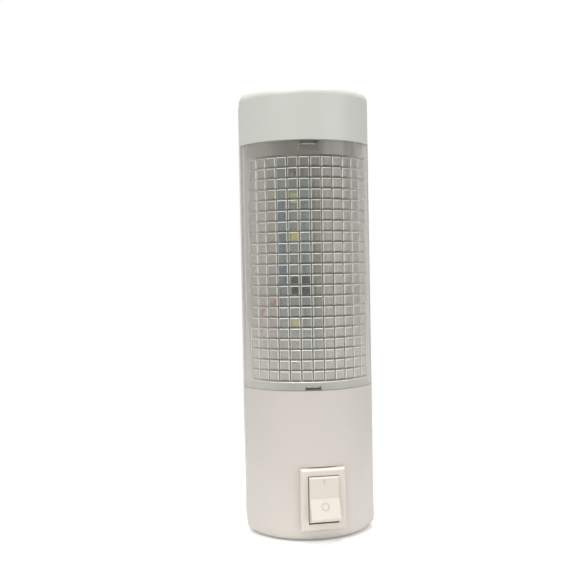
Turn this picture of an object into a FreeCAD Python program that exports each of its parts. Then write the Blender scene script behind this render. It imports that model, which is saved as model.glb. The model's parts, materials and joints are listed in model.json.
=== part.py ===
import FreeCAD, Part
import math
import os

# Plug-in LED night light with a rocker switch, in millimetres.
# The frame: +Z is up, +X is to the right of someone who faces the light, the front looks along -Y.
# The origin is on the face that meets the outlet, midway between the two plug blades.
# An outer pillar of three front pieces, a clear lens between two white ones, closes on a white tray.

V = FreeCAD.Vector
RIGHT = V(1, 0, 0)
INWARD = V(0, 1, 0)
UPWARD = V(0, 0, 1)

# Body
BODY_WIDTH = 44.0
BODY_DEPTH = 29.0
ARC_DEPTH = 14.4
EDGE_RADIUS = 5.0
HOUSING_HEIGHT = 50.0
LENS_HEIGHT = 82.0
CAP_HEIGHT = 18.0
WALL = 1.8
FLOOR = 1.8
TRAY_DEPTH = 6.0
BOTTOM_ROUND = 4.2
TOP_ROUND = 3.2
REAR_ROUND = 1.0
INNER_BEVEL_SHARE = 0.7
LIP_THICK = 0.8
LIP_HEIGHT = 1.5
LIP_GAP = 0.08

# Plug
PLUG_ABOVE_BOTTOM = 32.0
PAD_RISE = 2.0
PAD_WIDTH = 32.0
PAD_HEIGHT = 22.0
PAD_CORNER = 3.0
BLADE_SPACING = 12.7
BLADE_WIDTH = 6.35
BLADE_THICK = 1.5
BLADE_REACH = 16.5
BLADE_TIP = 1.2
BLADE_HOLE_RADIUS = 1.6
BLADE_HOLE_AT = 11.7
BLADE_GAP = 0.05
SHOULDER_WIDTH = 9.6
SHOULDER_THICK = 1.2
TAG_WIDTH = 4.0
TAG_REACH = 4.0
TAG_HOLE_RADIUS = 0.7
RETAINER_THICK = 2.0
RETAINER_HEIGHT = 11.0
RETAINER_MARGIN = 3.2
RETAINER_SCREW_BESIDE = 7.5

# Lens grid and catches
COLUMN_PITCH = 3.79
ROW_PITCH = 3.5
TOP_RIM = 5.3
BOTTOM_RIM = 3.2
GRID_SIDE_MARGIN = 3.3
GROOVE_WIDTH = 1.4
GROOVE_DEPTH = 0.6
TAB_WIDTH = 6.8
TAB_REACH = 3.6
TAB_ROOT = 6.0
TAB_THICK = 1.2
TAB_GAP = 0.1
SLOT_WIDTH = 5.3
SLOT_HEIGHT = 1.1
TOP_SLOT_WEB = 0.6
BOTTOM_SLOT_WEB = 0.35
NIB_HEIGHT = 0.5
NIB_REACH = 1.0
NIB_GAP = 0.05

# Screws: the four that close the body, and the small ones inside
CASE_SCREW_RADIUS = 1.3
CASE_SCREW_LENGTH = 9.5
CASE_HEAD_RADIUS = 2.6
CASE_HEAD_HEIGHT = 1.7
CASE_SCREW_INSET = 6.7
CASE_SCREW_UP = 6.5
CAP_SCREW_DOWN = 8.5
CASE_POST_RADIUS = 4.0
CASE_POST_WEB = 1.6
COUNTERBORE_GAP = 0.3
COUNTERBORE_DEPTH = 2.4
BOSS_RADIUS = 3.0
BOSS_GAP = 0.05
SMALL_SCREW_RADIUS = 0.9
SMALL_SCREW_LENGTH = 5.0
SMALL_HEAD_RADIUS = 1.8
SMALL_HEAD_HEIGHT = 1.2
SMALL_POST_RADIUS = 2.5
SCREW_GAP = 0.03
SHANK_GAP = 0.2
HEAD_BEVEL_SHARE = 0.4

# Light board
BOARD_WIDTH = 14.0
BOARD_HEIGHT = 68.0
BOARD_THICK = 1.6
BOARD_X = -3.0
BOARD_ABOVE_BOTTOM = 58.0
BOARD_STANDOFF = 5.2
BOARD_SCREW_INSET = 3.2
LED_HEIGHTS = (71.2, 100.9, 114.6)
LED_WIDTH = 2.8
LED_HEIGHT = 3.5
LED_THICK = 0.8
LED_RIM = 0.4
PHOSPHOR_THICK = 0.3
RECTIFIER_X = -1.2
RECTIFIER_ABOVE_BOTTOM = 84.3
RECTIFIER_WIDTH = 6.6
RECTIFIER_HEIGHT = 5.6
RECTIFIER_THICK = 2.3
RECTIFIER_STAND = 0.15
LEAD_WIDTH = 1.0
LEAD_THICK = 0.25
LEAD_REACH = 1.1
LEAD_SPREAD = 2.5
CHIP_ABOVE_BOTTOM = 92.8
CHIP_LENGTH = 3.2
CHIP_WIDTH = 1.6
CHIP_THICK = 0.6
RESISTOR_HEIGHTS = (88.0, 99.6, 111.2)
RESISTOR_X = -8.0
RESISTOR_LENGTH = 7.4
RESISTOR_RADIUS = 1.35
RESISTOR_WAIST = 1.1
RESISTOR_CAP_LENGTH = 1.6
RESISTOR_LEAD_RADIUS = 0.3
RESISTOR_LEAD_REACH = 1.5
PART_GAP = 0.05

# Rocker switch
SWITCH_TURN = 5.7
SWITCH_ABOVE_BOTTOM = 14.6
FLANGE_WIDTH = 15.0
FLANGE_HEIGHT = 20.2
FLANGE_THICK = 2.0
FLANGE_BEVEL = 0.6
LAND_SUNK = 0.6
LAND_MARGIN = 0.3
PANEL_THICK = 1.8
PANEL_MARGIN = 2.0
SWITCH_WIDTH = 12.8
SWITCH_HEIGHT = 18.0
SWITCH_DEPTH = 11.5
SWITCH_FLOOR = 1.6
CUTOUT_GAP = 0.1
WING_LENGTH = 4.5
WING_WIDTH = 5.0
WING_PROUD = 0.8
WING_GAP = 0.1
OPENING_WIDTH = 10.2
OPENING_HEIGHT = 15.6
PIVOT_DEPTH = 1.8
PIVOT_RADIUS = 1.0
PIVOT_LENGTH = 0.85
PIVOT_GAP = 0.05
ROCKER_SIDE_GAP = 0.2
ROCKER_END_GAP = 0.2
ROCKER_THROW = 13.0
ROCKER_FACET = 11.0
ROCKER_VALLEY = 3.3
ROCKER_NOSE = 0.5
ROCKER_SKIRT = 1.6
ROCKER_WALL = 1.2
CUP_RADIUS = 2.3
CUP_REACH = 3.6
PLUNGER_RADIUS = 1.5
PLUNGER_GAP = 0.08
PLUNGER_LENGTH = 3.4
PLUNGER_TIP_RADIUS = 1.0
PLUNGER_LEVER_GAP = 0.1
SPRING_WIRE_RADIUS = 0.15
SPRING_RADIUS = 1.2
SPRING_TURNS = 4
SPRING_GAP = 0.05

# Contacts inside the switch
LEVER_THROW = 6.5
LEVER_THICK = 0.5
LEVER_WIDTH = 4.0
LEVER_LENGTH = 13.0
LEVER_ARM = 5.0
KNIFE_RADIUS = 0.4
KNIFE_GAP = 0.05
TERMINAL_THICK = 0.8
TERMINAL_WIDTH = 4.8
TERMINAL_REACH = 7.0
TERMINAL_HOLE_RADIUS = 0.8
TERMINAL_SLOT_GAP = 0.05
LOAD_HEAD_LENGTH = 3.4
CONTACT_RADIUS = 1.3
CONTACT_EDGE = 0.3
CONTACT_CROWN = 0.25
CONTACT_GAP = 0.05

# Wires: the bends take this share of the shorter run beside them
WIRE_RADIUS = 0.7
BEND_SHARE = 0.45
SLEEVE_WALL = 0.5
SLEEVE_BEFORE = 3.0
SLEEVE_BEYOND = 2.0
SLEEVE_GAP = 0.08
SOLDER_RADIUS = 1.2
STRIP_LENGTH = 0.3
END_RUN = 5.0

# The leads' routes, chosen by hand: each point is (across, forward, up) from the place its list names
RED_ROUTE_FROM_SWITCH = ((-4.1, 4.8, 7.0), (-4.1, -1.6, 16.8))
RED_ROUTE_AT_BOARD = ((-1.0, -3.6, -20.0), (1.6, -3.6, -9.0), (-3.0, -3.4, -0.8), (-11.6, -3.0, 2.6),
                      (-16.4, -2.2, 9.6), (-15.6, -1.0, 18.4))
RED_END_UP = 21.6
RED_END_BESIDE = 0.6
LIVE_ROUTE_FROM_SWITCH = ((7.5, 4.2, 4.0),)
LIVE_ROUTE_TO_BLADE = ((4.6, -2.4, -7.4), (0.0, -5.6, 0.0))
NEUTRAL_ROUTE_FROM_BLADE = ((-5.6, -4.2, 7.0),)
NEUTRAL_ROUTE_TO_BOARD = ((-3.0, 0.2, -11.0), (-0.2, 0.0, -4.5))
NEUTRAL_END_UP = 2.6
NEUTRAL_END_IN = 2.2

# Places worked out from the sizes
FRONT_RADIUS = ((BODY_WIDTH / 2) ** 2 + ARC_DEPTH ** 2) / (2 * ARC_DEPTH)
BACK_Y = -PAD_RISE
FLOOR_Y = BACK_Y - FLOOR
SEAM_Y = BACK_Y - TRAY_DEPTH
FRONT_Y = BACK_Y - BODY_DEPTH
ARC_Y = FRONT_Y + FRONT_RADIUS
BOTTOM_Z = -PLUG_ABOVE_BOTTOM
LENS_LOW_Z = BOTTOM_Z + HOUSING_HEIGHT
LENS_TOP_Z = LENS_LOW_Z + LENS_HEIGHT
TOP_Z = LENS_TOP_Z + CAP_HEIGHT
BOARD_BACK_Y = FLOOR_Y - BOARD_STANDOFF
BOARD_FRONT_Y = BOARD_BACK_Y - BOARD_THICK
BOARD_LOW_Z = BOTTOM_Z + BOARD_ABOVE_BOTTOM
BOARD_TOP_Z = BOARD_LOW_Z + BOARD_HEIGHT
RETAINER_BACK_Y = FLOOR_Y - SHOULDER_THICK
RETAINER_FRONT_Y = RETAINER_BACK_Y - RETAINER_THICK
RETAINER_SCREW_X = BLADE_SPACING / 2 + RETAINER_SCREW_BESIDE
TAG_END_Y = RETAINER_FRONT_Y - TAG_REACH
CASE_POST_Y = BACK_Y - COUNTERBORE_DEPTH - CASE_POST_WEB
CASE_SCREW_X = BODY_WIDTH / 2 - CASE_SCREW_INSET
HOUSING_SCREW_Z = BOTTOM_Z + CASE_SCREW_UP
CAP_SCREW_Z = TOP_Z - CAP_SCREW_DOWN
SWITCH_Z = BOTTOM_Z + SWITCH_ABOVE_BOTTOM
LAND_Y = FRONT_Y + LAND_SUNK
PANEL_BACK_Y = LAND_Y + PANEL_THICK
FLANGE_FRONT_Y = LAND_Y - FLANGE_THICK
PIVOT_Y = FLANGE_FRONT_Y + PIVOT_DEPTH
SWITCH_BACK_Y = LAND_Y + SWITCH_DEPTH
SWITCH_FLOOR_Y = SWITCH_BACK_Y - SWITCH_FLOOR
TERMINAL_END_Y = SWITCH_BACK_Y + TERMINAL_REACH
CONTACT_HEIGHT = CONTACT_EDGE + CONTACT_CROWN
CROWN_RADIUS = (CONTACT_RADIUS ** 2 + CONTACT_CROWN ** 2) / (2 * CONTACT_CROWN)
FIXED_CONTACT_Y = SWITCH_FLOOR_Y - TERMINAL_THICK
LEVER_INNER = KNIFE_RADIUS + KNIFE_GAP
LEVER_SIN = math.sin(math.radians(LEVER_THROW))
LEVER_COS = math.cos(math.radians(LEVER_THROW))
CROWN_BEHIND = CROWN_RADIUS + LEVER_INNER - CONTACT_HEIGHT
LEVER_Y = (FIXED_CONTACT_Y - CONTACT_HEIGHT - CONTACT_GAP - CROWN_RADIUS
           + CROWN_BEHIND * LEVER_COS - LEVER_ARM * LEVER_SIN)
CONTACT_Z = SWITCH_Z - LEVER_ARM * LEVER_COS - CROWN_BEHIND * LEVER_SIN
SWITCH_SWING = FreeCAD.Placement(V(0, 0, 0), FreeCAD.Rotation(UPWARD, SWITCH_TURN), V(0, ARC_Y, 0))
PLUNGER_TIP_AT = (LEVER_Y - PIVOT_Y - LEVER_INNER - LEVER_THICK
                  - PLUNGER_TIP_RADIUS - PLUNGER_LEVER_GAP)


def box(x_range, y_range, z_range):
    """Block between two values on each axis."""
    low = V(min(x_range), min(y_range), min(z_range))
    high = V(max(x_range), max(y_range), max(z_range))
    size = high.sub(low)
    return Part.makeBox(size.x, size.y, size.z, low)


def around(centre, size):
    """The two ends of a length laid evenly about its centre."""
    return (centre - size / 2, centre + size / 2)


def rod(radius, start, end):
    """Round bar between two points."""
    way = end.sub(start)
    return Part.makeCylinder(radius, way.Length, start, way)


def fuse(shapes):
    """One clean solid from pieces that join."""
    return shapes[0].fuse(shapes[1:]).removeSplitter()


def flat(points):
    """Plane face inside straight edges."""
    return Part.Face(Part.makePolygon(points + points[:1]))


def side_profile(points, width, x=0.0):
    """Prism across X from (y, z) points."""
    face = flat([V(x - width / 2, y, z) for y, z in points])
    return face.extrude(V(width, 0, 0))


def save(name, shape):
    """Write one sub-part."""
    shape.exportStep("parts/" + name + ".step")
    box_size = shape.BoundBox
    print(name, len(shape.Solids), "solids", round(shape.Volume, 2), "mm3",
          [round(v, 2) for v in (box_size.XLength, box_size.YLength, box_size.ZLength)],
          "valid" if shape.isValid() else "NOT VALID")


def swing(shape):
    """Carry a piece of the switch from straight ahead to its place, about the front arc's axis."""
    shape.Placement = SWITCH_SWING.multiply(shape.Placement)
    return shape


def bend_arc(start, corner, end):
    """Arc tangent to start-corner and to corner-end, at start and end."""
    reach = start.sub(corner).Length
    middle = (start + end) * 0.5
    to_middle = middle.sub(corner)
    radius = reach * middle.sub(start).Length / to_middle.Length
    sagitta = math.sqrt(reach ** 2 + radius ** 2) - radius
    crown = corner + to_middle * (sagitta / to_middle.Length)
    return Part.Arc(start, crown, end).toShape(), radius


def six_sided(centre, way, radius):
    """Hexagon square to a path, for wires too thin for a round section to show."""
    other = UPWARD if abs(way.y) > abs(way.z) else INWARD
    side = way.cross(other).normalize()
    up = side.cross(way).normalize()
    angles = [step * math.pi / 3 for step in range(6)]
    corners = [centre + (side * math.cos(angle) + up * math.sin(angle)) * radius for angle in angles]
    return Part.makePolygon(corners + corners[:1])


def body_outline(inset, rear_y, z):
    """The body's plan: front arc, two rounded edges, straight sides and a flat rear."""
    radius = FRONT_RADIUS - inset
    edge = EDGE_RADIUS - inset
    half = BODY_WIDTH / 2 - inset
    edge_x = half - edge
    drop = math.sqrt((radius - edge) ** 2 - edge_x ** 2)
    reach = radius / (radius - edge)
    lean = math.atan2(drop, edge_x) / 2

    def at(side, x, y):
        return V(side * x, y, z)

    edges = []
    front = [at(-1, edge_x * reach, ARC_Y - drop * reach), V(0, ARC_Y - radius, z),
             at(1, edge_x * reach, ARC_Y - drop * reach)]
    crown = (edge_x + edge * math.cos(lean), ARC_Y - drop - edge * math.sin(lean))
    edges.append(Part.LineSegment(at(-1, half, rear_y), at(-1, half, ARC_Y - drop)).toShape())
    edges.append(Part.Arc(at(-1, half, ARC_Y - drop), at(-1, *crown), front[0]).toShape())
    edges.append(Part.Arc(*front).toShape())
    edges.append(Part.Arc(front[2], at(1, *crown), at(1, half, ARC_Y - drop)).toShape())
    edges.append(Part.LineSegment(at(1, half, ARC_Y - drop), at(1, half, rear_y)).toShape())
    edges.append(Part.LineSegment(at(1, half, rear_y), at(-1, half, rear_y)).toShape())
    return Part.Face(Part.Wire(edges))


def end_edges(block, z, rear_y):
    """The edges of a block's end, but not the straight one at its rear."""
    def on_end(edge):
        bounds = edge.BoundBox
        level = abs(bounds.ZMin - z) < 0.01 and abs(bounds.ZMax - z) < 0.01
        return level and bounds.YMin < rear_y - 0.01
    return [edge for edge in block.Edges if on_end(edge)]


def body_block(inset, rear_y):
    """The body drawn in by inset and closed flat at rear_y, with rounded ends outside and bevelled ones inside."""
    low_z = BOTTOM_Z + inset
    high_z = TOP_Z - inset
    block = body_outline(inset, rear_y, low_z).extrude(V(0, 0, high_z - low_z))
    for z, radius in ((low_z, BOTTOM_ROUND), (high_z, TOP_ROUND)):
        edges = end_edges(block, z, rear_y)
        if inset:
            block = block.makeChamfer((radius - inset) * INNER_BEVEL_SHARE, edges)
        else:
            block = block.makeFillet(radius, edges)
    return block


OUTSIDE = body_block(0.0, BACK_Y)
CAVITY = body_block(WALL, FLOOR_Y)
SHELL = OUTSIDE.cut(CAVITY)
WIDE = (-BODY_WIDTH, BODY_WIDTH)


def front_shell(low_z, high_z):
    """A length of the pillar in front of the seam, with a rebate for the tray's lip."""
    piece = SHELL.common(box(WIDE, (FRONT_Y - 1, SEAM_Y), (low_z, high_z)))
    rebate = body_block(WALL - LIP_THICK - LIP_GAP, SEAM_Y)
    band = box(WIDE, (SEAM_Y - LIP_HEIGHT - LIP_GAP, SEAM_Y), (low_z - 1, high_z + 1))
    return piece.cut(rebate.common(band))


def case_boss(x, z):
    """Long boss from the front wall to the tray's post, for a screw that closes the body."""
    start = V(x, CASE_POST_Y - BOSS_GAP, z)
    boss = rod(BOSS_RADIUS, start, V(x, FRONT_Y, z))
    pilot = rod(CASE_SCREW_RADIUS + SCREW_GAP, start, start - INWARD * CASE_SCREW_LENGTH)
    return boss.common(body_block(WALL / 2, BACK_Y)).cut(pilot)


def catch_tab(seam_z, toward_lens, web):
    """Springy tab that reaches behind the lens and catches in its slot."""
    far = seam_z + toward_lens * TAB_REACH
    root = seam_z - toward_lens * TAB_ROOT
    outer = FRONT_RADIUS - WALL - TAB_GAP
    axis = V(0, ARC_Y, 0)

    def ring(outside, inside, z_range):
        low = axis + V(0, 0, min(z_range))
        height = abs(z_range[1] - z_range[0])
        return Part.makeCylinder(outside, height, low).cut(Part.makeCylinder(inside, height, low))

    tab = ring(outer, outer - TAB_THICK, (root, far))
    foot = ring(FRONT_RADIUS - WALL / 2, outer - TAB_THICK, (root, seam_z))
    inner = outer - TAB_THICK / 2
    nib_z = seam_z + toward_lens * (web + SLOT_HEIGHT - NIB_GAP)
    nib = ring(outer + NIB_REACH, inner, (nib_z, nib_z - toward_lens * NIB_HEIGHT))
    ahead = (FRONT_Y - 1, ARC_Y)
    tall = (min(root, far), max(root, far))
    tab = tab.fuse(foot).common(box(around(0, TAB_WIDTH), ahead, tall))
    nib = nib.common(box(around(0, SLOT_WIDTH - 2 * NIB_GAP), ahead, tall))
    return tab.fuse(nib)


def make_back_shell():
    """Tray with the plug pad, the screw posts and the lip that lines up the front pieces."""
    rear = [e for e in OUTSIDE.Edges if abs(e.BoundBox.YMin - BACK_Y) < 0.01]
    rounded = OUTSIDE.makeFillet(REAR_ROUND, rear).cut(CAVITY)
    tray = rounded.common(box(WIDE, (BACK_Y + 1, SEAM_Y), (BOTTOM_Z - 1, TOP_Z + 1)))
    lip = body_block(WALL - LIP_THICK, SEAM_Y).cut(body_block(WALL, SEAM_Y + 1))
    lip = lip.common(box(WIDE, (SEAM_Y - LIP_HEIGHT, SEAM_Y), (BOTTOM_Z, TOP_Z)))
    pad = box(around(0, PAD_WIDTH), (FLOOR_Y, 0), around(0, PAD_HEIGHT))
    corners = [e for e in pad.Edges if abs(e.BoundBox.YLength - abs(FLOOR_Y)) < 0.01]
    pad = pad.makeFillet(PAD_CORNER, corners)
    solids = [tray, lip, pad]
    for x, z in case_screw_places():
        solids.append(rod(CASE_POST_RADIUS, V(x, BACK_Y, z), V(x, CASE_POST_Y, z)))
    for z in board_screw_heights():
        solids.append(rod(SMALL_POST_RADIUS, V(BOARD_X, FLOOR_Y, z), V(BOARD_X, BOARD_BACK_Y, z)))
    for x in retainer_screw_places():
        solids.append(rod(SMALL_POST_RADIUS, V(x, FLOOR_Y, 0), V(x, RETAINER_BACK_Y, 0)))
    shell = fuse(solids)
    cuts = []
    for x, z in case_screw_places():
        sunk = V(x, BACK_Y - COUNTERBORE_DEPTH, z)
        cuts.append(rod(CASE_HEAD_RADIUS + COUNTERBORE_GAP, V(x, BACK_Y + 1, z), sunk))
        cuts.append(rod(CASE_SCREW_RADIUS + SHANK_GAP, sunk, V(x, CASE_POST_Y - 1, z)))
    pilot = SMALL_SCREW_RADIUS + SCREW_GAP
    for z in board_screw_heights():
        top = V(BOARD_X, BOARD_BACK_Y, z)
        cuts.append(rod(pilot, top, top + INWARD * (SMALL_SCREW_LENGTH - BOARD_THICK + SCREW_GAP)))
    for x in retainer_screw_places():
        top = V(x, RETAINER_BACK_Y, 0)
        depth = SMALL_SCREW_LENGTH - RETAINER_THICK + SCREW_GAP
        cuts.append(rod(pilot, top, top + INWARD * depth))
    for x in blade_places():
        slot_x = around(x, BLADE_THICK + 2 * BLADE_GAP)
        slot_z = around(0, BLADE_WIDTH + 2 * BLADE_GAP)
        cuts.append(box(slot_x, (FLOOR_Y - 1, 1), slot_z))
    return shell.cut(cuts)


def case_screw_places():
    """The four screws that close the body."""
    return [(side * CASE_SCREW_X, z) for z in (HOUSING_SCREW_Z, CAP_SCREW_Z) for side in (-1, 1)]


def board_screw_heights():
    return [BOARD_LOW_Z + BOARD_SCREW_INSET, BOARD_TOP_Z - BOARD_SCREW_INSET]


def retainer_screw_places():
    return [-RETAINER_SCREW_X, RETAINER_SCREW_X]


def blade_places():
    return [-BLADE_SPACING / 2, BLADE_SPACING / 2]


def make_lower_housing():
    """White lower front piece with the seat for the switch."""
    housing = front_shell(BOTTOM_Z - 1, LENS_LOW_Z)
    land = swing(box(around(0, FLANGE_WIDTH + 2 * LAND_MARGIN), (FRONT_Y - 1, LAND_Y),
                     around(SWITCH_Z, FLANGE_HEIGHT + 2 * LAND_MARGIN)))
    pad_size = (SWITCH_WIDTH + 2 * PANEL_MARGIN, SWITCH_HEIGHT + 2 * PANEL_MARGIN)
    panel = swing(box(around(0, pad_size[0]), (FRONT_Y, PANEL_BACK_Y), around(SWITCH_Z, pad_size[1])))
    opening = swing(box(around(0, SWITCH_WIDTH + 2 * CUTOUT_GAP), (FRONT_Y - 1, SEAM_Y - BODY_DEPTH / 4),
                        around(SWITCH_Z, SWITCH_HEIGHT + 2 * CUTOUT_GAP)))
    relief = swing(box(around(0, SWITCH_WIDTH + 2 * CUTOUT_GAP), (PANEL_BACK_Y, SEAM_Y - BODY_DEPTH / 4),
                       around(SWITCH_Z, pad_size[1])))
    bosses = [case_boss(side * CASE_SCREW_X, HOUSING_SCREW_Z) for side in (-1, 1)]
    tab = catch_tab(LENS_LOW_Z, 1, BOTTOM_SLOT_WEB)
    whole = fuse([housing, panel.common(OUTSIDE)] + bosses + [tab])
    return whole.cut([land, opening, relief])


def make_upper_cap():
    """White top piece."""
    cap = front_shell(LENS_TOP_Z, TOP_Z + 1)
    bosses = [case_boss(side * CASE_SCREW_X, CAP_SCREW_Z) for side in (-1, 1)]
    return fuse([cap] + bosses + [catch_tab(LENS_TOP_Z, -1, TOP_SLOT_WEB)])


def grid_rows():
    """Heights of the lens grid's lines, from the top one down."""
    rows = int((LENS_HEIGHT - TOP_RIM - BOTTOM_RIM) / ROW_PITCH + 0.01)
    return [LENS_TOP_Z - TOP_RIM - row * ROW_PITCH for row in range(rows + 1)]


def grid_angles():
    """Directions of the lens grid's upright lines, in radians from the front."""
    edge_x = BODY_WIDTH / 2 - EDGE_RADIUS
    corner = math.asin(edge_x / (FRONT_RADIUS - EDGE_RADIUS))
    pitch = COLUMN_PITCH / FRONT_RADIUS
    half = int((corner - GRID_SIDE_MARGIN / FRONT_RADIUS) / pitch)
    return [step * pitch for step in range(-half, half + 1)]


def grid_section(z, inset, curved=False):
    """Plan of the grid zone as a sector about the front arc's axis, its edge a flat or an arc for each column."""
    radius = FRONT_RADIUS - inset
    angles = grid_angles()

    def at(angle):
        return V(radius * math.sin(angle), ARC_Y - radius * math.cos(angle), z)

    edges = []
    for first, last in zip(angles, angles[1:]):
        if curved:
            edges.append(Part.Arc(at(first), at((first + last) / 2), at(last)).toShape())
        else:
            edges.append(Part.LineSegment(at(first), at(last)).toShape())
    axis = V(0, ARC_Y, z)
    edges.append(Part.LineSegment(at(angles[-1]), axis).toShape())
    edges.append(Part.LineSegment(axis, at(angles[0])).toShape())
    return Part.Wire(edges)


def grid_zone():
    """The length of the lens that the grid takes, as one plain sector and as one with level V grooves."""
    rows = list(reversed(grid_rows()))
    half = GROOVE_WIDTH / 2
    sections = [grid_section(rows[0] - half, 0, True), grid_section(rows[0], GROOVE_DEPTH)]
    for low, high in zip(rows, rows[1:]):
        sections += [grid_section(low + half, 0), grid_section(high - half, 0), grid_section(high, GROOVE_DEPTH)]
    sections.append(grid_section(rows[-1] + half, 0, True))
    height = rows[-1] - rows[0] + GROOVE_WIDTH
    plain = Part.Face(grid_section(rows[0] - half, -WALL, True)).extrude(V(0, 0, height))
    return plain, Part.makeLoft(sections, True, True)


def upright_grooves():
    """V cutters along the grid's upright lines."""
    rows = grid_rows()
    proud = GROOVE_DEPTH
    half_width = GROOVE_WIDTH / 2 * (GROOVE_DEPTH + proud) / GROOVE_DEPTH
    cutters = []
    for angle in grid_angles():
        out = V(math.sin(angle), -math.cos(angle), 0)
        across = V(math.cos(angle), math.sin(angle), 0)
        foot = V(0, ARC_Y, rows[-1]) + out * (FRONT_RADIUS - GROOVE_DEPTH)
        rim = foot + out * (GROOVE_DEPTH + proud)
        section = flat([foot, rim + across * half_width, rim - across * half_width])
        cutters.append(section.extrude(V(0, 0, rows[0] - rows[-1])))
    return cutters


def make_lens():
    """Clear front piece with its grid of bevelled studs and two catch slots."""
    plain, grooved = grid_zone()
    ahead = box(WIDE, (FRONT_Y - 1, SEAM_Y), (LENS_LOW_Z, LENS_TOP_Z))
    lens = fuse([front_shell(LENS_LOW_Z, LENS_TOP_Z).cut(plain), grooved.common(ahead).cut(CAVITY)])
    low = LENS_LOW_Z + BOTTOM_SLOT_WEB
    high = LENS_TOP_Z - TOP_SLOT_WEB
    across = around(0, SLOT_WIDTH)
    through = (FRONT_Y - 1, FRONT_Y + 2 * WALL)
    slots = [box(across, through, (low, low + SLOT_HEIGHT)), box(across, through, (high - SLOT_HEIGHT, high))]
    return lens.cut(upright_grooves() + slots)


def screw(head_at, into, length, radius, head_radius, head_height):
    """Pan head screw, its head standing back from the point it bears on."""
    tip = radius
    shank = rod(radius, head_at, head_at + into * (length - tip))
    point = Part.makeCone(radius, radius / 4, tip, head_at + into * (length - tip), into)
    head = rod(head_radius, head_at, head_at - into * head_height)
    rim = [e for e in head.Edges if e.BoundBox.YLength < 0.01
           and abs(e.BoundBox.YMin - (head_at - into * head_height).y) < 0.01]
    head = head.makeChamfer(head_height * HEAD_BEVEL_SHARE, rim)
    return fuse([shank, point, head])


def make_housing_screws():
    """Screws from the rear, sunk in the tray's counterbores."""
    return Part.Compound([screw(V(x, BACK_Y - COUNTERBORE_DEPTH, z), -INWARD, CASE_SCREW_LENGTH,
                                CASE_SCREW_RADIUS, CASE_HEAD_RADIUS, CASE_HEAD_HEIGHT)
                          for x, z in case_screw_places()])


def small_screw(x, y, z):
    return screw(V(x, y, z), INWARD, SMALL_SCREW_LENGTH, SMALL_SCREW_RADIUS,
                 SMALL_HEAD_RADIUS, SMALL_HEAD_HEIGHT)


def make_blade(x):
    """Flat plug blade with a chamfered tip, a hole, a shoulder behind the pad and a solder tag."""
    thick = around(x, BLADE_THICK)
    half = BLADE_WIDTH / 2
    tip = BLADE_TIP
    outline = [(FLOOR_Y, -half), (BLADE_REACH - tip, -half), (BLADE_REACH, -half + tip),
               (BLADE_REACH, half - tip), (BLADE_REACH - tip, half), (FLOOR_Y, half)]
    blade = side_profile(outline, BLADE_THICK, x)
    shoulder = box(thick, (FLOOR_Y, RETAINER_BACK_Y), around(0, SHOULDER_WIDTH))
    tag = box(thick, (RETAINER_BACK_Y, TAG_END_Y), around(0, TAG_WIDTH))
    holes = [rod(BLADE_HOLE_RADIUS, V(thick[0] - 1, BLADE_HOLE_AT, 0), V(thick[1] + 1, BLADE_HOLE_AT, 0)),
             rod(TAG_HOLE_RADIUS, V(thick[0] - 1, TAG_END_Y + TAG_WIDTH / 2, 0),
                 V(thick[1] + 1, TAG_END_Y + TAG_WIDTH / 2, 0))]
    return fuse([blade, shoulder, tag]).cut(holes)


def make_blade_retainer():
    """Plate over the blades' shoulders, screwed to two posts."""
    half = RETAINER_SCREW_X + RETAINER_MARGIN
    plate = box((-half, half), (RETAINER_BACK_Y, RETAINER_FRONT_Y), around(0, RETAINER_HEIGHT))
    corners = [e for e in plate.Edges if abs(e.BoundBox.YLength - RETAINER_THICK) < 0.01]
    plate = plate.makeFillet(RETAINER_MARGIN / 2, corners)
    cuts = []
    for x in blade_places():
        cuts.append(box(around(x, BLADE_THICK + 2 * BLADE_GAP), (FLOOR_Y, TAG_END_Y),
                        around(0, TAG_WIDTH + 2 * BLADE_GAP)))
    for x in retainer_screw_places():
        cuts.append(rod(SMALL_SCREW_RADIUS + SHANK_GAP, V(x, FLOOR_Y, 0), V(x, TAG_END_Y, 0)))
    return plate.cut(cuts)


def make_led_board():
    """Long narrow board on two posts."""
    board = box(around(BOARD_X, BOARD_WIDTH), (BOARD_BACK_Y, BOARD_FRONT_Y), (BOARD_LOW_Z, BOARD_TOP_Z))
    holes = [rod(SMALL_SCREW_RADIUS + SHANK_GAP, V(BOARD_X, BOARD_BACK_Y + 1, z), V(BOARD_X, BOARD_FRONT_Y - 1, z))
             for z in board_screw_heights()]
    return board.cut(holes)


def on_board(x, height, size):
    """Block that stands on the board's front: size is (width, thickness, height)."""
    return box(around(x, size[0]), (BOARD_FRONT_Y, BOARD_FRONT_Y - size[1]),
               around(BOTTOM_Z + height, size[2]))


def led_window(height):
    """The filled well in the face of one LED."""
    face_y = BOARD_FRONT_Y - LED_THICK
    return box(around(BOARD_X, LED_WIDTH - 2 * LED_RIM), (face_y + PHOSPHOR_THICK, face_y),
               around(BOTTOM_Z + height, LED_HEIGHT - 2 * LED_RIM))


def make_led_packages():
    return Part.Compound([on_board(BOARD_X, height, (LED_WIDTH, LED_THICK, LED_HEIGHT)).cut(led_window(height))
                          for height in LED_HEIGHTS])


def make_led_phosphors():
    return Part.Compound([led_window(height) for height in LED_HEIGHTS])


def make_bridge_rectifier():
    """Square black block that stands just off the board."""
    low_y = BOARD_FRONT_Y - RECTIFIER_STAND
    block = box(around(RECTIFIER_X, RECTIFIER_WIDTH), (low_y, low_y - RECTIFIER_THICK),
                around(BOTTOM_Z + RECTIFIER_ABOVE_BOTTOM, RECTIFIER_HEIGHT))
    front = [e for e in block.Edges if abs(e.BoundBox.YMax - (low_y - RECTIFIER_THICK)) < 0.01]
    return block.makeChamfer(RECTIFIER_THICK / 8, front)


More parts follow.
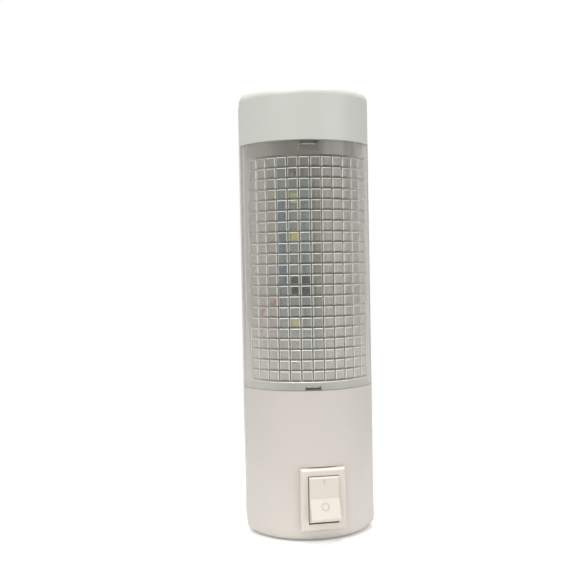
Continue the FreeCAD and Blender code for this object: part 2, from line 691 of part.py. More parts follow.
def make_rectifier_leads():
    """Four bent leads, two above the block and two below."""
    foot_y = BOARD_FRONT_Y - LEAD_THICK
    mid_y = BOARD_FRONT_Y - RECTIFIER_STAND - RECTIFIER_THICK / 2
    leads = []
    for end in (-1, 1):
        edge = BOTTOM_Z + RECTIFIER_ABOVE_BOTTOM + end * RECTIFIER_HEIGHT / 2
        knee = edge + end * LEAD_REACH / 2
        outer = edge + end * LEAD_REACH
        bent = [(mid_y, edge), (mid_y - LEAD_THICK, edge), (mid_y - LEAD_THICK, knee),
                (foot_y, knee), (foot_y, outer), (BOARD_FRONT_Y, outer),
                (BOARD_FRONT_Y, knee - end * LEAD_THICK), (mid_y, knee - end * LEAD_THICK)]
        for side in (-1, 1):
            leads.append(side_profile(bent, LEAD_WIDTH, RECTIFIER_X + side * LEAD_SPREAD / 2))
    return Part.Compound(leads)


def make_chip_resistor():
    return on_board(BOARD_X, CHIP_ABOVE_BOTTOM, (CHIP_LENGTH, CHIP_THICK, CHIP_WIDTH))


def resistor_axis_y():
    return BOARD_FRONT_Y - RESISTOR_RADIUS - PART_GAP


def make_dropper_resistors():
    """Axial resistors laid along the board's left edge, with a fuller cap at each end."""
    half = RESISTOR_LENGTH / 2
    cap = RESISTOR_CAP_LENGTH
    slope = RESISTOR_RADIUS - RESISTOR_WAIST
    solids = []
    for height in RESISTOR_HEIGHTS:
        z = BOTTOM_Z + height
        shape = [(0, -half), (RESISTOR_WAIST, -half), (RESISTOR_RADIUS, -half + slope),
                 (RESISTOR_RADIUS, -half + cap - slope), (RESISTOR_WAIST, -half + cap),
                 (RESISTOR_WAIST, half - cap), (RESISTOR_RADIUS, half - cap + slope),
                 (RESISTOR_RADIUS, half - slope), (RESISTOR_WAIST, half), (0, half)]
        face = flat([V(RESISTOR_X + radius, resistor_axis_y(), z + along) for radius, along in shape])
        solids.append(face.revolve(V(RESISTOR_X, resistor_axis_y(), z), V(0, 0, 1), 360))
    return Part.Compound(solids)


def make_resistor_leads():
    """Bent wires from each resistor's ends to the board."""
    leads = []
    for height in RESISTOR_HEIGHTS:
        for end in (-1, 1):
            start = V(RESISTOR_X, resistor_axis_y(), BOTTOM_Z + height + end * RESISTOR_LENGTH / 2)
            knee = start + V(0, 0, end * (RESISTOR_LEAD_REACH - RESISTOR_LEAD_RADIUS))
            foot = V(knee.x, BOARD_FRONT_Y, knee.z)
            bend = 2 * RESISTOR_LEAD_RADIUS
            enter = knee - UPWARD * (end * bend)
            leave = knee + INWARD * bend
            path = Part.Wire([Part.LineSegment(start, enter).toShape(), bend_arc(enter, knee, leave)[0],
                              Part.LineSegment(leave, foot).toShape()])
            section = six_sided(start, UPWARD * end, RESISTOR_LEAD_RADIUS)
            leads.append(path.makePipeShell([section], True, False))
    return Part.Compound(leads)


def make_switch_body():
    """Flanged box of the rocker switch, with snap wings, pivot holes and terminal slots."""
    flange = box(around(0, FLANGE_WIDTH), (FLANGE_FRONT_Y, LAND_Y), around(SWITCH_Z, FLANGE_HEIGHT))
    front = [e for e in flange.Edges if abs(e.BoundBox.YMax - FLANGE_FRONT_Y) < 0.01]
    flange = flange.makeChamfer(FLANGE_BEVEL, front)
    case = box(around(0, SWITCH_WIDTH), (LAND_Y, SWITCH_BACK_Y), around(SWITCH_Z, SWITCH_HEIGHT))
    wings = []
    for end in (-1, 1):
        wall_z = SWITCH_Z + end * SWITCH_HEIGHT / 2
        catch_y = PANEL_BACK_Y + WING_GAP
        wedge = [(catch_y, wall_z), (catch_y, wall_z + end * WING_PROUD), (catch_y + WING_LENGTH, wall_z)]
        wings.append(side_profile(wedge, WING_WIDTH))
    body = fuse([flange, case] + wings)
    hollow = box(around(0, OPENING_WIDTH), (FLANGE_FRONT_Y - 1, SWITCH_FLOOR_Y),
                 around(SWITCH_Z, OPENING_HEIGHT))
    socket = OPENING_WIDTH / 2 + PIVOT_LENGTH + PIVOT_GAP - ROCKER_SIDE_GAP
    pivots = rod(PIVOT_RADIUS + PIVOT_GAP, V(-socket, PIVOT_Y, SWITCH_Z),
                 V(socket, PIVOT_Y, SWITCH_Z))
    slots = [box(around(0, TERMINAL_WIDTH + 2 * TERMINAL_SLOT_GAP),
                 (SWITCH_FLOOR_Y - 1, SWITCH_BACK_Y + 1),
                 around(z, TERMINAL_THICK + 2 * TERMINAL_SLOT_GAP)) for z in terminal_heights()]
    return body.cut([hollow, pivots] + slots)


def terminal_heights():
    """Centres of the common and the load terminal."""
    load_z = CONTACT_Z - LOAD_HEAD_LENGTH / 2 + TERMINAL_THICK / 2
    return [SWITCH_Z, load_z + TERMINAL_THICK / 2]


def rocker_pose(shape):
    """Tip a piece of the rocker from level to the pose with its top end pressed in."""
    shape.rotate(V(0, PIVOT_Y, SWITCH_Z), RIGHT, -ROCKER_THROW)
    return shape


def rocker_outline(inset):
    """Half outlines of the level rocker, seen from the side, as (out, up) corners of its upper end."""
    throw = math.radians(ROCKER_THROW)
    reach = OPENING_HEIGHT / 2 - ROCKER_END_GAP
    slope = math.tan(math.radians(ROCKER_FACET))
    lean = math.tan(throw)
    # The pressed corner stays inside the opening: up * cos + out * sin = reach, with out on the facet.
    corner_up = (reach - ROCKER_VALLEY * math.sin(throw)) / (math.cos(throw) + slope * math.sin(throw))
    corner_out = ROCKER_VALLEY + corner_up * slope
    end = [(reach * math.sin(throw), reach * math.cos(throw)), (0.0, reach),
           (-ROCKER_SKIRT, reach - ROCKER_SKIRT * lean)]
    if inset:
        floor_up = corner_up - inset
        return [(ROCKER_VALLEY - inset, 0.0), (ROCKER_VALLEY - inset + floor_up * slope, floor_up),
                (-ROCKER_SKIRT - inset, reach - inset - ROCKER_SKIRT * lean)]
    return [(ROCKER_VALLEY, 0.0), (corner_out, corner_up)] + end


def rocker_prism(upper, width):
    """Prism whose side view is the given upper outline and its mirror image below the pivot."""
    lower = [(out, -up) for out, up in reversed(upper) if up > 0]
    points = [(PIVOT_Y - out, SWITCH_Z + up) for out, up in upper + lower]
    return side_profile(points, width)


def make_switch_rocker():
    """Hollow rocker with a shallow V front, two pivot pins and a cup for its plunger."""
    width = OPENING_WIDTH - 2 * ROCKER_SIDE_GAP
    shell = rocker_prism(rocker_outline(0.0), width)
    corner_y = PIVOT_Y - rocker_outline(0.0)[1][0]
    noses = [e for e in shell.Edges
             if e.BoundBox.XLength > width / 2 and abs(e.BoundBox.YMin - corner_y) < 0.01]
    shell = shell.makeFillet(ROCKER_NOSE, noses)
    shell = shell.cut(rocker_prism(rocker_outline(ROCKER_WALL), width - 2 * ROCKER_WALL))
    pin = width / 2 + PIVOT_LENGTH - ROCKER_SIDE_GAP / 2
    centre = V(0, PIVOT_Y, SWITCH_Z)
    wall_x = width / 2 - ROCKER_WALL
    pins = [rod(PIVOT_RADIUS, centre + RIGHT * (side * wall_x), centre + RIGHT * (side * pin))
            for side in (-1, 1)]
    roof = centre - INWARD * (ROCKER_VALLEY - ROCKER_WALL / 2)
    cup = rod(CUP_RADIUS, roof, centre + INWARD * CUP_REACH)
    bore = rod(PLUNGER_RADIUS + PLUNGER_GAP, cup_floor(), centre + INWARD * (CUP_REACH + 1))
    return rocker_pose(fuse([shell, cup] + pins).cut(bore))


def cup_floor():
    return V(0, PIVOT_Y - ROCKER_VALLEY + ROCKER_WALL, SWITCH_Z)


def plunger_back():
    """Distance from the pivot to the plunger's spring end."""
    return PLUNGER_TIP_AT - PLUNGER_LENGTH


def make_rocker_plunger():
    """Round plunger with a ball end that rides on the contact lever."""
    centre = V(0, PIVOT_Y, SWITCH_Z)
    cone_start = max(CUP_REACH, plunger_back() + PLUNGER_RADIUS)
    stem = rod(PLUNGER_RADIUS, centre + INWARD * plunger_back(), centre + INWARD * cone_start)
    neck = Part.makeCone(PLUNGER_RADIUS, PLUNGER_TIP_RADIUS, PLUNGER_TIP_AT - cone_start,
                         centre + INWARD * cone_start, INWARD)
    ball = Part.makeSphere(PLUNGER_TIP_RADIUS, centre + INWARD * PLUNGER_TIP_AT)
    return rocker_pose(fuse([stem, neck, ball]))


def make_rocker_spring():
    """Small coil between the cup's floor and the plunger, one tube along pairs of arcs."""
    start_y = cup_floor().y + SPRING_WIRE_RADIUS + SPRING_GAP
    end_y = PIVOT_Y + plunger_back() - SPRING_WIRE_RADIUS - SPRING_GAP
    rise = (end_y - start_y) / SPRING_TURNS
    climb = rise / (2 * math.pi)
    steps = 4 * SPRING_TURNS

    def on_helix(turn):
        angle = 2 * math.pi * turn
        point = V(SPRING_RADIUS * math.cos(angle), start_y + rise * turn,
                  SWITCH_Z + SPRING_RADIUS * math.sin(angle))
        way = V(-SPRING_RADIUS * math.sin(angle), climb, SPRING_RADIUS * math.cos(angle))
        return point, way.normalize()

    edges = []
    for step in range(steps):
        first, first_way = on_helix(step / 4)
        last, last_way = on_helix((step + 1) / 4)
        gap = last.sub(first)
        turn = 2 * (first_way.dot(last_way) - 1)
        lean = -2 * gap.dot(first_way + last_way)
        reach = (-lean - math.sqrt(lean ** 2 - 4 * turn * gap.dot(gap))) / (2 * turn)
        knee = first + first_way * reach
        other = last - last_way * reach
        joint = (knee + other) * 0.5
        edges += [bend_arc(first, knee, joint)[0], bend_arc(joint, other, last)[0]]
    path = Part.Wire(edges)
    start, way = on_helix(0)
    coil = path.makePipeShell([six_sided(start, way, SPRING_WIRE_RADIUS)], True, False)
    print("rocker_spring least gap between turns", round(rise - 2 * SPRING_WIRE_RADIUS, 2))
    return rocker_pose(coil)


def lever_pose(shape):
    """Tip a piece of the lever from level to the pose with its contact closed."""
    shape.rotate(V(0, LEVER_Y, SWITCH_Z), RIGHT, LEVER_THROW)
    return shape


def make_contact_lever():
    """Strip that tips on the common terminal's edge, with a raised saddle over it."""
    inner = LEVER_Y - LEVER_INNER
    outer = inner - LEVER_THICK
    strip = box(around(0, LEVER_WIDTH), (outer, inner), around(SWITCH_Z, LEVER_LENGTH))
    saddle_in = LEVER_Y
    saddle = box(around(0, LEVER_WIDTH), (outer, saddle_in),
                 around(SWITCH_Z, 2 * (LEVER_INNER + LEVER_THICK)))
    seat = rod(LEVER_INNER, V(-LEVER_WIDTH, LEVER_Y, SWITCH_Z), V(LEVER_WIDTH, LEVER_Y, SWITCH_Z))
    return lever_pose(fuse([strip, saddle]).cut(seat))


def contact_button(face, into):
    """Round contact with a crowned face: it stands on face, and into points at the other contact."""
    top = face + into * CONTACT_HEIGHT
    disc = Part.makeCylinder(CONTACT_RADIUS, CONTACT_HEIGHT, face, into)
    return disc.common(Part.makeSphere(CROWN_RADIUS, top - into * CROWN_RADIUS))


def make_moving_contact():
    face = V(0, LEVER_Y - LEVER_INNER, SWITCH_Z - LEVER_ARM)
    return lever_pose(contact_button(face, INWARD))


def make_fixed_contact():
    return contact_button(V(0, FIXED_CONTACT_Y, CONTACT_Z), -INWARD)


def terminal_blade(z, start_y):
    """Flat terminal that leaves through the switch's floor."""
    blade = box(around(0, TERMINAL_WIDTH), (start_y, TERMINAL_END_Y), around(z, TERMINAL_THICK))
    hole_y = TERMINAL_END_Y - TERMINAL_WIDTH / 2
    return blade.cut(rod(TERMINAL_HOLE_RADIUS, V(0, hole_y, z - 1), V(0, hole_y, z + 1)))


def make_terminal_common():
    """Common terminal: its rounded inner edge is what the lever tips on."""
    z = terminal_heights()[0]
    blade = terminal_blade(z, LEVER_Y)
    knife = rod(KNIFE_RADIUS, V(-TERMINAL_WIDTH / 2, LEVER_Y, z),
                V(TERMINAL_WIDTH / 2, LEVER_Y, z))
    return fuse([blade, knife])


def make_terminal_load():
    """Load terminal: its head lies on the switch's floor under the fixed contact."""
    z = terminal_heights()[1]
    head = box(around(0, TERMINAL_WIDTH), (FIXED_CONTACT_Y, SWITCH_FLOOR_Y),
               (z - TERMINAL_THICK / 2, z - TERMINAL_THICK / 2 + LOAD_HEAD_LENGTH))
    return fuse([head, terminal_blade(z, FIXED_CONTACT_Y)])


def wire_tube(name, points):
    """Insulated wire along straight runs joined by tangent arcs."""
    edges = []
    radii = []
    last = points[0]
    for before, corner, after in zip(points, points[1:], points[2:]):
        back = before.sub(corner)
        ahead = after.sub(corner)
        trim = BEND_SHARE * min(back.Length, ahead.Length)
        enter = corner + back.normalize() * trim
        leave = corner + ahead.normalize() * trim
        arc, radius = bend_arc(enter, corner, leave)
        edges += [Part.LineSegment(last, enter).toShape(), arc]
        radii.append(round(radius, 1))
        last = leave
    edges.append(Part.LineSegment(last, points[-1]).toShape())
    path = Part.Wire(edges)
    section = six_sided(points[0], points[1].sub(points[0]).normalize(), WIRE_RADIUS)
    tube = path.makePipeShell([section], True, False)
    share = tube.Volume / (Part.Face(section).Area * path.Length)
    print(name, "bend radii", radii, "volume over section times length", round(share, 4))
    return tube


def terminal_end(height):
    """The first two points of a wire that leaves a terminal of the switch."""
    start = V(0, TERMINAL_END_Y, height)
    return [SWITCH_SWING.multVec(point) for point in (start, start + INWARD * END_RUN)]


def along(place, route):
    """A route's points, measured from a place."""
    return [place + V(*step) for step in route]


def red_wire_points():
    """Lead from the switch's load terminal up past the board's lower end to its left edge."""
    start, clear = terminal_end(terminal_heights()[1])
    end = V(RESISTOR_X - RED_END_BESIDE, BOARD_FRONT_Y - WIRE_RADIUS - STRIP_LENGTH, BOARD_LOW_Z + RED_END_UP)
    board = V(0, end.y, BOARD_LOW_Z)
    return ([start, clear] + along(start, RED_ROUTE_FROM_SWITCH)
            + along(board, RED_ROUTE_AT_BOARD) + [end])


def live_wire_points():
    """Lead from the right blade to the switch's common terminal."""
    start, clear = terminal_end(terminal_heights()[0])
    end = V(blade_places()[1], TAG_END_Y, 0)
    return ([start, clear] + along(start, LIVE_ROUTE_FROM_SWITCH)
            + along(end, LIVE_ROUTE_TO_BLADE) + [end])


def neutral_wire_points():
    """Lead from the left blade to the board's lower end."""
    start = V(blade_places()[0], TAG_END_Y, 0)
    end = V(BOARD_X - BOARD_WIDTH / 2 + NEUTRAL_END_IN, BOARD_FRONT_Y - WIRE_RADIUS - STRIP_LENGTH,
            BOARD_LOW_Z + NEUTRAL_END_UP)
    return ([start, start - INWARD * END_RUN] + along(start, NEUTRAL_ROUTE_FROM_BLADE)
            + along(end, NEUTRAL_ROUTE_TO_BOARD) + [end])


def make_wires():
    routes = {"red_wire": red_wire_points(), "live_wire": live_wire_points(),
              "neutral_wire": neutral_wire_points()}
    return {name: wire_tube(name, points) for name, points in routes.items()}


def make_terminal_sleeves():
    """Shrunk sleeves over the switch's terminal tips and the wires on them."""
    sleeves = []
    for z in terminal_heights():
        wide = TERMINAL_WIDTH + 2 * SLEEVE_GAP
        thick = 2 * (WIRE_RADIUS + SLEEVE_GAP)
        reach = (TERMINAL_END_Y - SLEEVE_BEFORE, TERMINAL_END_Y + SLEEVE_BEYOND)
        sleeve = box(around(0, wide + 2 * SLEEVE_WALL), reach, around(z, thick + 2 * SLEEVE_WALL))
        corners = [e for e in sleeve.Edges if e.BoundBox.YLength > SLEEVE_BEFORE]
        sleeve = sleeve.makeFillet(SLEEVE_WALL, corners)
        bore = box(around(0, wide), reach, around(z, thick))
        sleeves.append(sleeve.cut(bore))
    return Part.Compound(sleeves)


def make_solder_joints(wires):
    """Beads that hold the wires on the blades' tags and on the board."""
    beads = []
    for x in blade_places():
        middle = V(x, TAG_END_Y + STRIP_LENGTH, 0)
        beads.append(fuse([Part.makeCone(SOLDER_RADIUS, WIRE_RADIUS, SOLDER_RADIUS, middle, INWARD * side)
                           for side in (-1, 1)]))
    for points in (red_wire_points(), neutral_wire_points()):
        end = points[-1]
        foot = V(end.x, BOARD_FRONT_Y, end.z)
        beads.append(Part.makeCone(SOLDER_RADIUS, WIRE_RADIUS, 2 * WIRE_RADIUS, foot, -INWARD))
    blades = [make_blade(x) for x in blade_places()]
    others = list(wires.values()) + blades
    return Part.Compound([bead.cut(others) for bead in beads])


def build():
    os.makedirs("parts", exist_ok=True)
    left, right = blade_places()
    save("back_shell", make_back_shell())
    save("lower_housing", make_lower_housing())
    save("upper_cap", make_upper_cap())
    save("lens", make_lens())
    save("housing_screws", make_housing_screws())
    save("plug_blade_left", make_blade(left))
    save("plug_blade_right", make_blade(right))
    save("blade_retainer", make_blade_retainer())
    save("retainer_screws", Part.Compound([small_screw(x, RETAINER_FRONT_Y, 0)
                                           for x in retainer_screw_places()]))
    save("led_board", make_led_board())
    save("board_screws", Part.Compound([small_screw(BOARD_X, BOARD_FRONT_Y, z)
                                        for z in board_screw_heights()]))
    save("led_packages", make_led_packages())
    save("led_phosphors", make_led_phosphors())
    save("bridge_rectifier", make_bridge_rectifier())
    save("rectifier_leads", make_rectifier_leads())
    save("chip_resistor", make_chip_resistor())
    save("dropper_resistors", make_dropper_resistors())
    save("resistor_leads", make_resistor_leads())
    save("switch_body", swing(make_switch_body()))
    save("switch_rocker", swing(make_switch_rocker()))
    save("rocker_plunger", swing(make_rocker_plunger()))
    save("rocker_spring", swing(make_rocker_spring()))
    save("contact_lever", swing(make_contact_lever()))
    save("moving_contact", swing(make_moving_contact()))
    save("fixed_contact", swing(make_fixed_contact()))
    save("terminal_common", swing(make_terminal_common()))
    save("terminal_load", swing(make_terminal_load()))
    wires = make_wires()
    for name, wire in wires.items():
        save(name, wire)
    save("terminal_sleeves", swing(make_terminal_sleeves()))
    save("solder_joints", make_solder_joints(wires))


build()
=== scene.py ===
# %% [markdown]
# # A plug-in night light and its finishes
# The real object is a tall plastic pillar that plugs straight into a wall outlet. Two white moulded pieces
# hold a clear, studded lens between them, and a small board with three light chips sits behind the lens.
# The exact shapes come from a measured model, which is loaded first and never moved. This notebook gives
# that model its finishes, and rebuilds the few pieces whose fine shape the eye looks for.

# %% Load the measured model
import bpy
import bmesh
import json
import math
from mathutils import Matrix, Vector


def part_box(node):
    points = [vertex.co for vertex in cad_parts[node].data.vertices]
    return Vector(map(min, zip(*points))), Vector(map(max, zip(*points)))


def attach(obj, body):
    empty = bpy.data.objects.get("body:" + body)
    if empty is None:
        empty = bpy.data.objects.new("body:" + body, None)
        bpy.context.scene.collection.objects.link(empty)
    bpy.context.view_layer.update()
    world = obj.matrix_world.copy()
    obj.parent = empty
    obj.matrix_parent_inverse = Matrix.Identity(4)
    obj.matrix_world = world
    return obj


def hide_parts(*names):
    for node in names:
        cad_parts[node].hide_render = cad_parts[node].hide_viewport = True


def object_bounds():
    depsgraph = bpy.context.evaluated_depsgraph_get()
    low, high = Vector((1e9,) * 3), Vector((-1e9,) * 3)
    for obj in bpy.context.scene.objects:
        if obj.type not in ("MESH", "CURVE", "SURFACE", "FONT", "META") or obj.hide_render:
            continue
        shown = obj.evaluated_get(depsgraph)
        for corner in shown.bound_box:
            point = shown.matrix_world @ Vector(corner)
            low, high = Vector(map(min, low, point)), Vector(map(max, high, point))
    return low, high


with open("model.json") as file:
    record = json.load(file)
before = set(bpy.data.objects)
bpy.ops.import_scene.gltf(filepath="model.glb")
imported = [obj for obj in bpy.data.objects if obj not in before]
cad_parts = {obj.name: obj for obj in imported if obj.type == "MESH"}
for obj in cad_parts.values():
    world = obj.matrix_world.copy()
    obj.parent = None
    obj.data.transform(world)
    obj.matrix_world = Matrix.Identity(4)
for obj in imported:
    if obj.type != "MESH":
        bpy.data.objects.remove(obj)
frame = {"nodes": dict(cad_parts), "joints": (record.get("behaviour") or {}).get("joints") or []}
bpy.context.view_layer.update()
MODEL_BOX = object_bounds()
nodes = frame["nodes"]
MM = 0.001
print("model box in mm", [round(v / MM, 1) for corner in MODEL_BOX for v in corner])

# %% [markdown]
# ## The viewpoint
# The camera comes first, because every later choice is judged through it. It stands level with the upper
# part of the lens, a little to the left, about a forearm's length away. The lens is a normal one. A real
# photo is never quite level, so the camera rolls by about one degree.

# %% Place the camera
EYE = Vector((-30.7, -294.9, 56.9)) * MM
TURN = math.radians(4.96)
TILT = math.radians(-1.1)
ROLL = math.radians(1.08)

ahead = Vector((math.sin(TURN) * math.cos(TILT), math.cos(TURN) * math.cos(TILT), math.sin(TILT)))
right = Vector((math.cos(TURN), -math.sin(TURN), 0.0))
above = right.cross(ahead)
leaning_up = above * math.cos(ROLL) + right * math.sin(ROLL)
leaning_right = ahead.cross(leaning_up)

camera_data = bpy.data.cameras.new("viewpoint")
camera_data.sensor_width = 36.0
camera_data.lens = 51.0
camera_data.clip_start = 0.01
camera_data.clip_end = 20.0
camera = bpy.data.objects.new("viewpoint", camera_data)
bpy.context.scene.collection.objects.link(camera)
camera.matrix_world = Matrix.Translation(EYE) @ Matrix((leaning_right, leaning_up, -ahead)).transposed().to_4x4()
bpy.context.scene.camera = camera
bpy.context.scene.view_settings.view_transform = "Standard"
print("camera", camera_data.lens, "mm lens at", [round(v / MM) for v in EYE])

# %% [markdown]
# ## Small tools
# Colours are written as the hex codes that a paint program shows, and one function turns them to the linear
# values that light sums work in. One more function adds a node, with its settings and its links, to any tree:
# a material's or a geometry's. The others start a material, close a mesh and put an object in the scene.

# %% Colour and node helpers
def linear(hex_code):
    """An sRGB hex colour as linear red, green, blue and alpha."""
    parts = [int(hex_code[i:i + 2], 16) / 255 for i in (1, 3, 5)]
    return [c / 12.92 if c <= 0.04045 else ((c + 0.055) / 1.055) ** 2.4 for c in parts] + [1.0]


def add(tree, kind, settings=None, inputs=None):
    """A new node of a kind, its settings set, its inputs given a value or linked from another's output."""
    made = tree.nodes.new(kind)
    for name, value in (settings or {}).items():
        setattr(made, name, value)
    for name, value in (inputs or {}).items():
        if isinstance(value, bpy.types.NodeSocket):
            tree.links.new(value, made.inputs[name])
        else:
            made.inputs[name].default_value = value
    return made


def new_material(name):
    """An empty node material, its tree, and the coordinates that its patterns are read at."""
    material = bpy.data.materials.new(name)
    material.use_nodes = True
    tree = material.node_tree
    tree.nodes.clear()
    return material, tree, add(tree, "ShaderNodeTexCoord").outputs


def closed_mesh(shape, name):
    """A mesh from a closed bmesh, its faces turned outwards."""
    bmesh.ops.recalc_face_normals(shape, faces=shape.faces)
    mesh = bpy.data.meshes.new(name)
    shape.to_mesh(mesh)
    shape.free()
    return mesh


def in_scene(name, data):
    """An object with some data, linked to the scene."""
    made = bpy.data.objects.new(name, data)
    bpy.context.scene.collection.objects.link(made)
    return made


print("white", linear("#ffffff"), "mid grey", [round(c, 3) for c in linear("#808080")])

# %% [markdown]
# ## Moulded plastic
# Most of the light is opaque plastic, injected hot into a polished steel mould. Such a surface is even in
# colour but not quite: it has faint flow shades some millimetres wide, a fine sparkle of grain, and soft
# edges, because a mould can't hold a sharp corner. The grain here is drawn at a quarter of a millimetre,
# a little coarser than life, so that it shows. A Bevel node rounds the edges in the shading alone, and an
# Ambient Occlusion node finds the narrow seams and darkens them with painted shade.

# %% Moulded plastic finish
# The seams are darkened towards this colour as painted shade.
SEAM_SHADE_COLOUR = "#6f685e"
SEAM_REACH_MM = 0.9
FLOW_MM = 14.0


def moulded_plastic(name, colour, shade, roughness, grain_mm=0.25, edge_mm=0.2, scatter_mm=0.6, seam=0.0):
    """Opaque moulded plastic: flow shades between two colours, fine grain, softened edges and painted shade in the
    seams.
    """
    material, tree, here = new_material(name)
    place = here["Object"]
    flow = add(tree, "ShaderNodeTexNoise", inputs={"Vector": place, "Scale": 1 / (FLOW_MM * MM), "Detail": 6.0})
    skin = add(tree, "ShaderNodeMix", {"data_type": "RGBA"},
               {"Factor": flow.outputs["Fac"], 6: linear(colour), 7: linear(shade)}).outputs[2]
    # Painted shade: near a seam the Ambient Occlusion node darkens the colour, as shade would.
    if seam:
        hollow = add(tree, "ShaderNodeAmbientOcclusion", {"samples": 8}, {"Distance": SEAM_REACH_MM * MM})
        seam_shade_share = add(tree, "ShaderNodeMapRange", inputs={"Value": hollow.outputs["AO"], "From Min": 0.2,
                                                        "From Max": 0.8, "To Min": seam, "To Max": 0.0})
        skin = add(tree, "ShaderNodeMix", {"data_type": "RGBA"},
                   {"Factor": seam_shade_share.outputs["Result"], 6: skin, 7: linear(SEAM_SHADE_COLOUR)}).outputs[2]
    grain = add(tree, "ShaderNodeTexNoise", inputs={"Vector": place, "Scale": 1 / (grain_mm * MM), "Detail": 2.0})
    sheen = add(tree, "ShaderNodeMapRange", inputs={"Value": flow.outputs["Fac"],
                                                    "To Min": roughness * 0.95, "To Max": roughness * 1.05})
    edge = add(tree, "ShaderNodeBevel", {"samples": 6}, {"Radius": edge_mm * MM})
    relief = add(tree, "ShaderNodeBump", inputs={"Height": grain.outputs["Fac"], "Normal": edge.outputs["Normal"],
                                                 "Distance": 0.006 * MM, "Strength": 0.5})
    body = add(tree, "ShaderNodeBsdfPrincipled",
               inputs={"Base Color": skin, "Roughness": sheen.outputs["Result"], "IOR": 1.52,
                       "Normal": relief.outputs["Normal"], "Subsurface Weight": 0.12 if scatter_mm else 0.0,
                       "Subsurface Radius": (1.0, 0.9, 0.8), "Subsurface Scale": scatter_mm * MM})
    add(tree, "ShaderNodeOutputMaterial", inputs={"Surface": body.outputs["BSDF"]})
    return material


def paint(material, *names):
    """Give measured pieces a finish."""
    for name in names:
        slots = nodes[name].data.materials
        slots.clear()
        slots.append(material)
    print(material.name, "on", ", ".join(names))


# The dust in this print is painted shade in the seams.
print("flow shades", FLOW_MM, "mm wide, and dust within", SEAM_REACH_MM, "mm of a seam")

# %% [markdown]
# The case is ABS with a warm white, and the cap is a slightly greyer shade of it, as parts from two moulds
# often are. The switch is nylon, creamier and a little duller than the case. Its rocker is the palest piece.

# %% White pieces
# Each seam value sets how strongly painted shade darkens that piece's seams.
paint(moulded_plastic("abs_case_warm_white", "#d8d2cb", "#d4cec7", 0.31, seam=0.7), "lower_housing")
paint(moulded_plastic("abs_tray_warm_white", "#d9d4cd", "#d5d0c9", 0.31, seam=0.3), "back_shell")
paint(moulded_plastic("abs_cap_cool_white", "#d8d9d1", "#d4d5cd", 0.31, seam=0.95), "upper_cap")
paint(moulded_plastic("nylon_switch_cream", "#e1dad0", "#dcd5ca", 0.42, edge_mm=0.15, scatter_mm=0.2, seam=0.9),
      "switch_body")
paint(moulded_plastic("nylon_rocker_ivory", "#e0d9cf", "#dbd4c9", 0.36, edge_mm=0.25, scatter_mm=0.2, seam=0.9),
      "switch_rocker")
paint(moulded_plastic("acetal_plunger_white", "#e4e2da", "#dedcd3", 0.4, edge_mm=0.1), "rocker_plunger")
paint(moulded_plastic("abs_retainer_white", "#dfdcd5", "#d8d5cd", 0.45), "blade_retainer")
paint(moulded_plastic("shrink_sleeve_white", "#dddcd6", "#d3d2cb", 0.55, grain_mm=0.4), "terminal_sleeves")

# %% [markdown]
# ## Metals
# The blades are brass under bright nickel, rolled and then stamped, so faint lines run along them. The screws
# are steel with a dull zinc plate. Inside the switch the strips are bare brass and copper, and the contacts
# are silver. A metal's colour is its reflection, so the fine lines go into roughness and relief.

# %% Metal finish
LINE_STRETCH = 0.06


def rolled_metal(name, colour, shade, roughness, line_mm, along):
    """Metal with fine rolling lines: along gives the stretch of the lines on each axis."""
    material, tree, here = new_material(name)
    place = here["Object"]
    drawn = add(tree, "ShaderNodeMapping", inputs={"Vector": place, "Scale": along})
    lines = add(tree, "ShaderNodeTexNoise", inputs={"Vector": drawn.outputs["Vector"], "Scale": 1 / (line_mm * MM),
                                                    "Detail": 3.0})
    cloud = add(tree, "ShaderNodeTexNoise", inputs={"Vector": place, "Scale": 1 / (2.5 * MM), "Detail": 4.0})
    tint = add(tree, "ShaderNodeMix", {"data_type": "RGBA"},
               {"Factor": cloud.outputs["Fac"], 6: linear(colour), 7: linear(shade)})
    dull = add(tree, "ShaderNodeMapRange", inputs={"Value": lines.outputs["Fac"], "From Min": 0.3, "From Max": 0.7,
                                                   "To Min": roughness * 0.7, "To Max": roughness * 1.3})
    edge = add(tree, "ShaderNodeBevel", {"samples": 6}, {"Radius": 0.12 * MM})
    relief = add(tree, "ShaderNodeBump", inputs={"Height": lines.outputs["Fac"], "Normal": edge.outputs["Normal"],
                                                 "Distance": 0.004 * MM, "Strength": 0.4})
    body = add(tree, "ShaderNodeBsdfPrincipled",
               inputs={"Base Color": tint.outputs[2], "Metallic": 1.0, "Roughness": dull.outputs["Result"],
                       "Normal": relief.outputs["Normal"]})
    add(tree, "ShaderNodeOutputMaterial", inputs={"Surface": body.outputs["BSDF"]})
    return material


print("rolling lines are", round(1 / LINE_STRETCH), "times as long as they are wide")

# %% [markdown]
# The lines run along the blades and terminals, and up the lever. Screws, wires, solder and contacts are turned,
# drawn, melted or pressed, so their pattern has no direction.

# %% Metal pieces
ALONG_Y = (1.0, LINE_STRETCH, 1.0)
ALONG_Z = (1.0, 1.0, LINE_STRETCH)
NO_WAY = (1.0, 1.0, 1.0)
zinc_plate = rolled_metal("zinc_plated_steel", "#b4b5b6", "#9c9d9f", 0.34, 0.3, NO_WAY)
tin_plate = rolled_metal("tinned_copper", "#c6c7c8", "#adafb1", 0.3, 0.2, NO_WAY)
paint(rolled_metal("nickel_plated_brass", "#cfc9ba", "#bdb6a5", 0.2, 0.15, ALONG_Y),
      "plug_blade_left", "plug_blade_right")
paint(rolled_metal("bare_brass_strip", "#c9a154", "#b08a45", 0.28, 0.15, ALONG_Y), "terminal_common", "terminal_load")
paint(rolled_metal("copper_strip", "#c07a4f", "#a9683f", 0.28, 0.15, ALONG_Z), "contact_lever")
paint(rolled_metal("silver_contact", "#cccac3", "#b3b1ab", 0.25, 0.2, NO_WAY),
      "moving_contact", "fixed_contact")
paint(rolled_metal("drawn_spring_wire", "#9b9c9e", "#858688", 0.3, 0.2, NO_WAY), "rocker_spring")
paint(tin_plate, "rectifier_leads", "resistor_leads", "solder_joints")

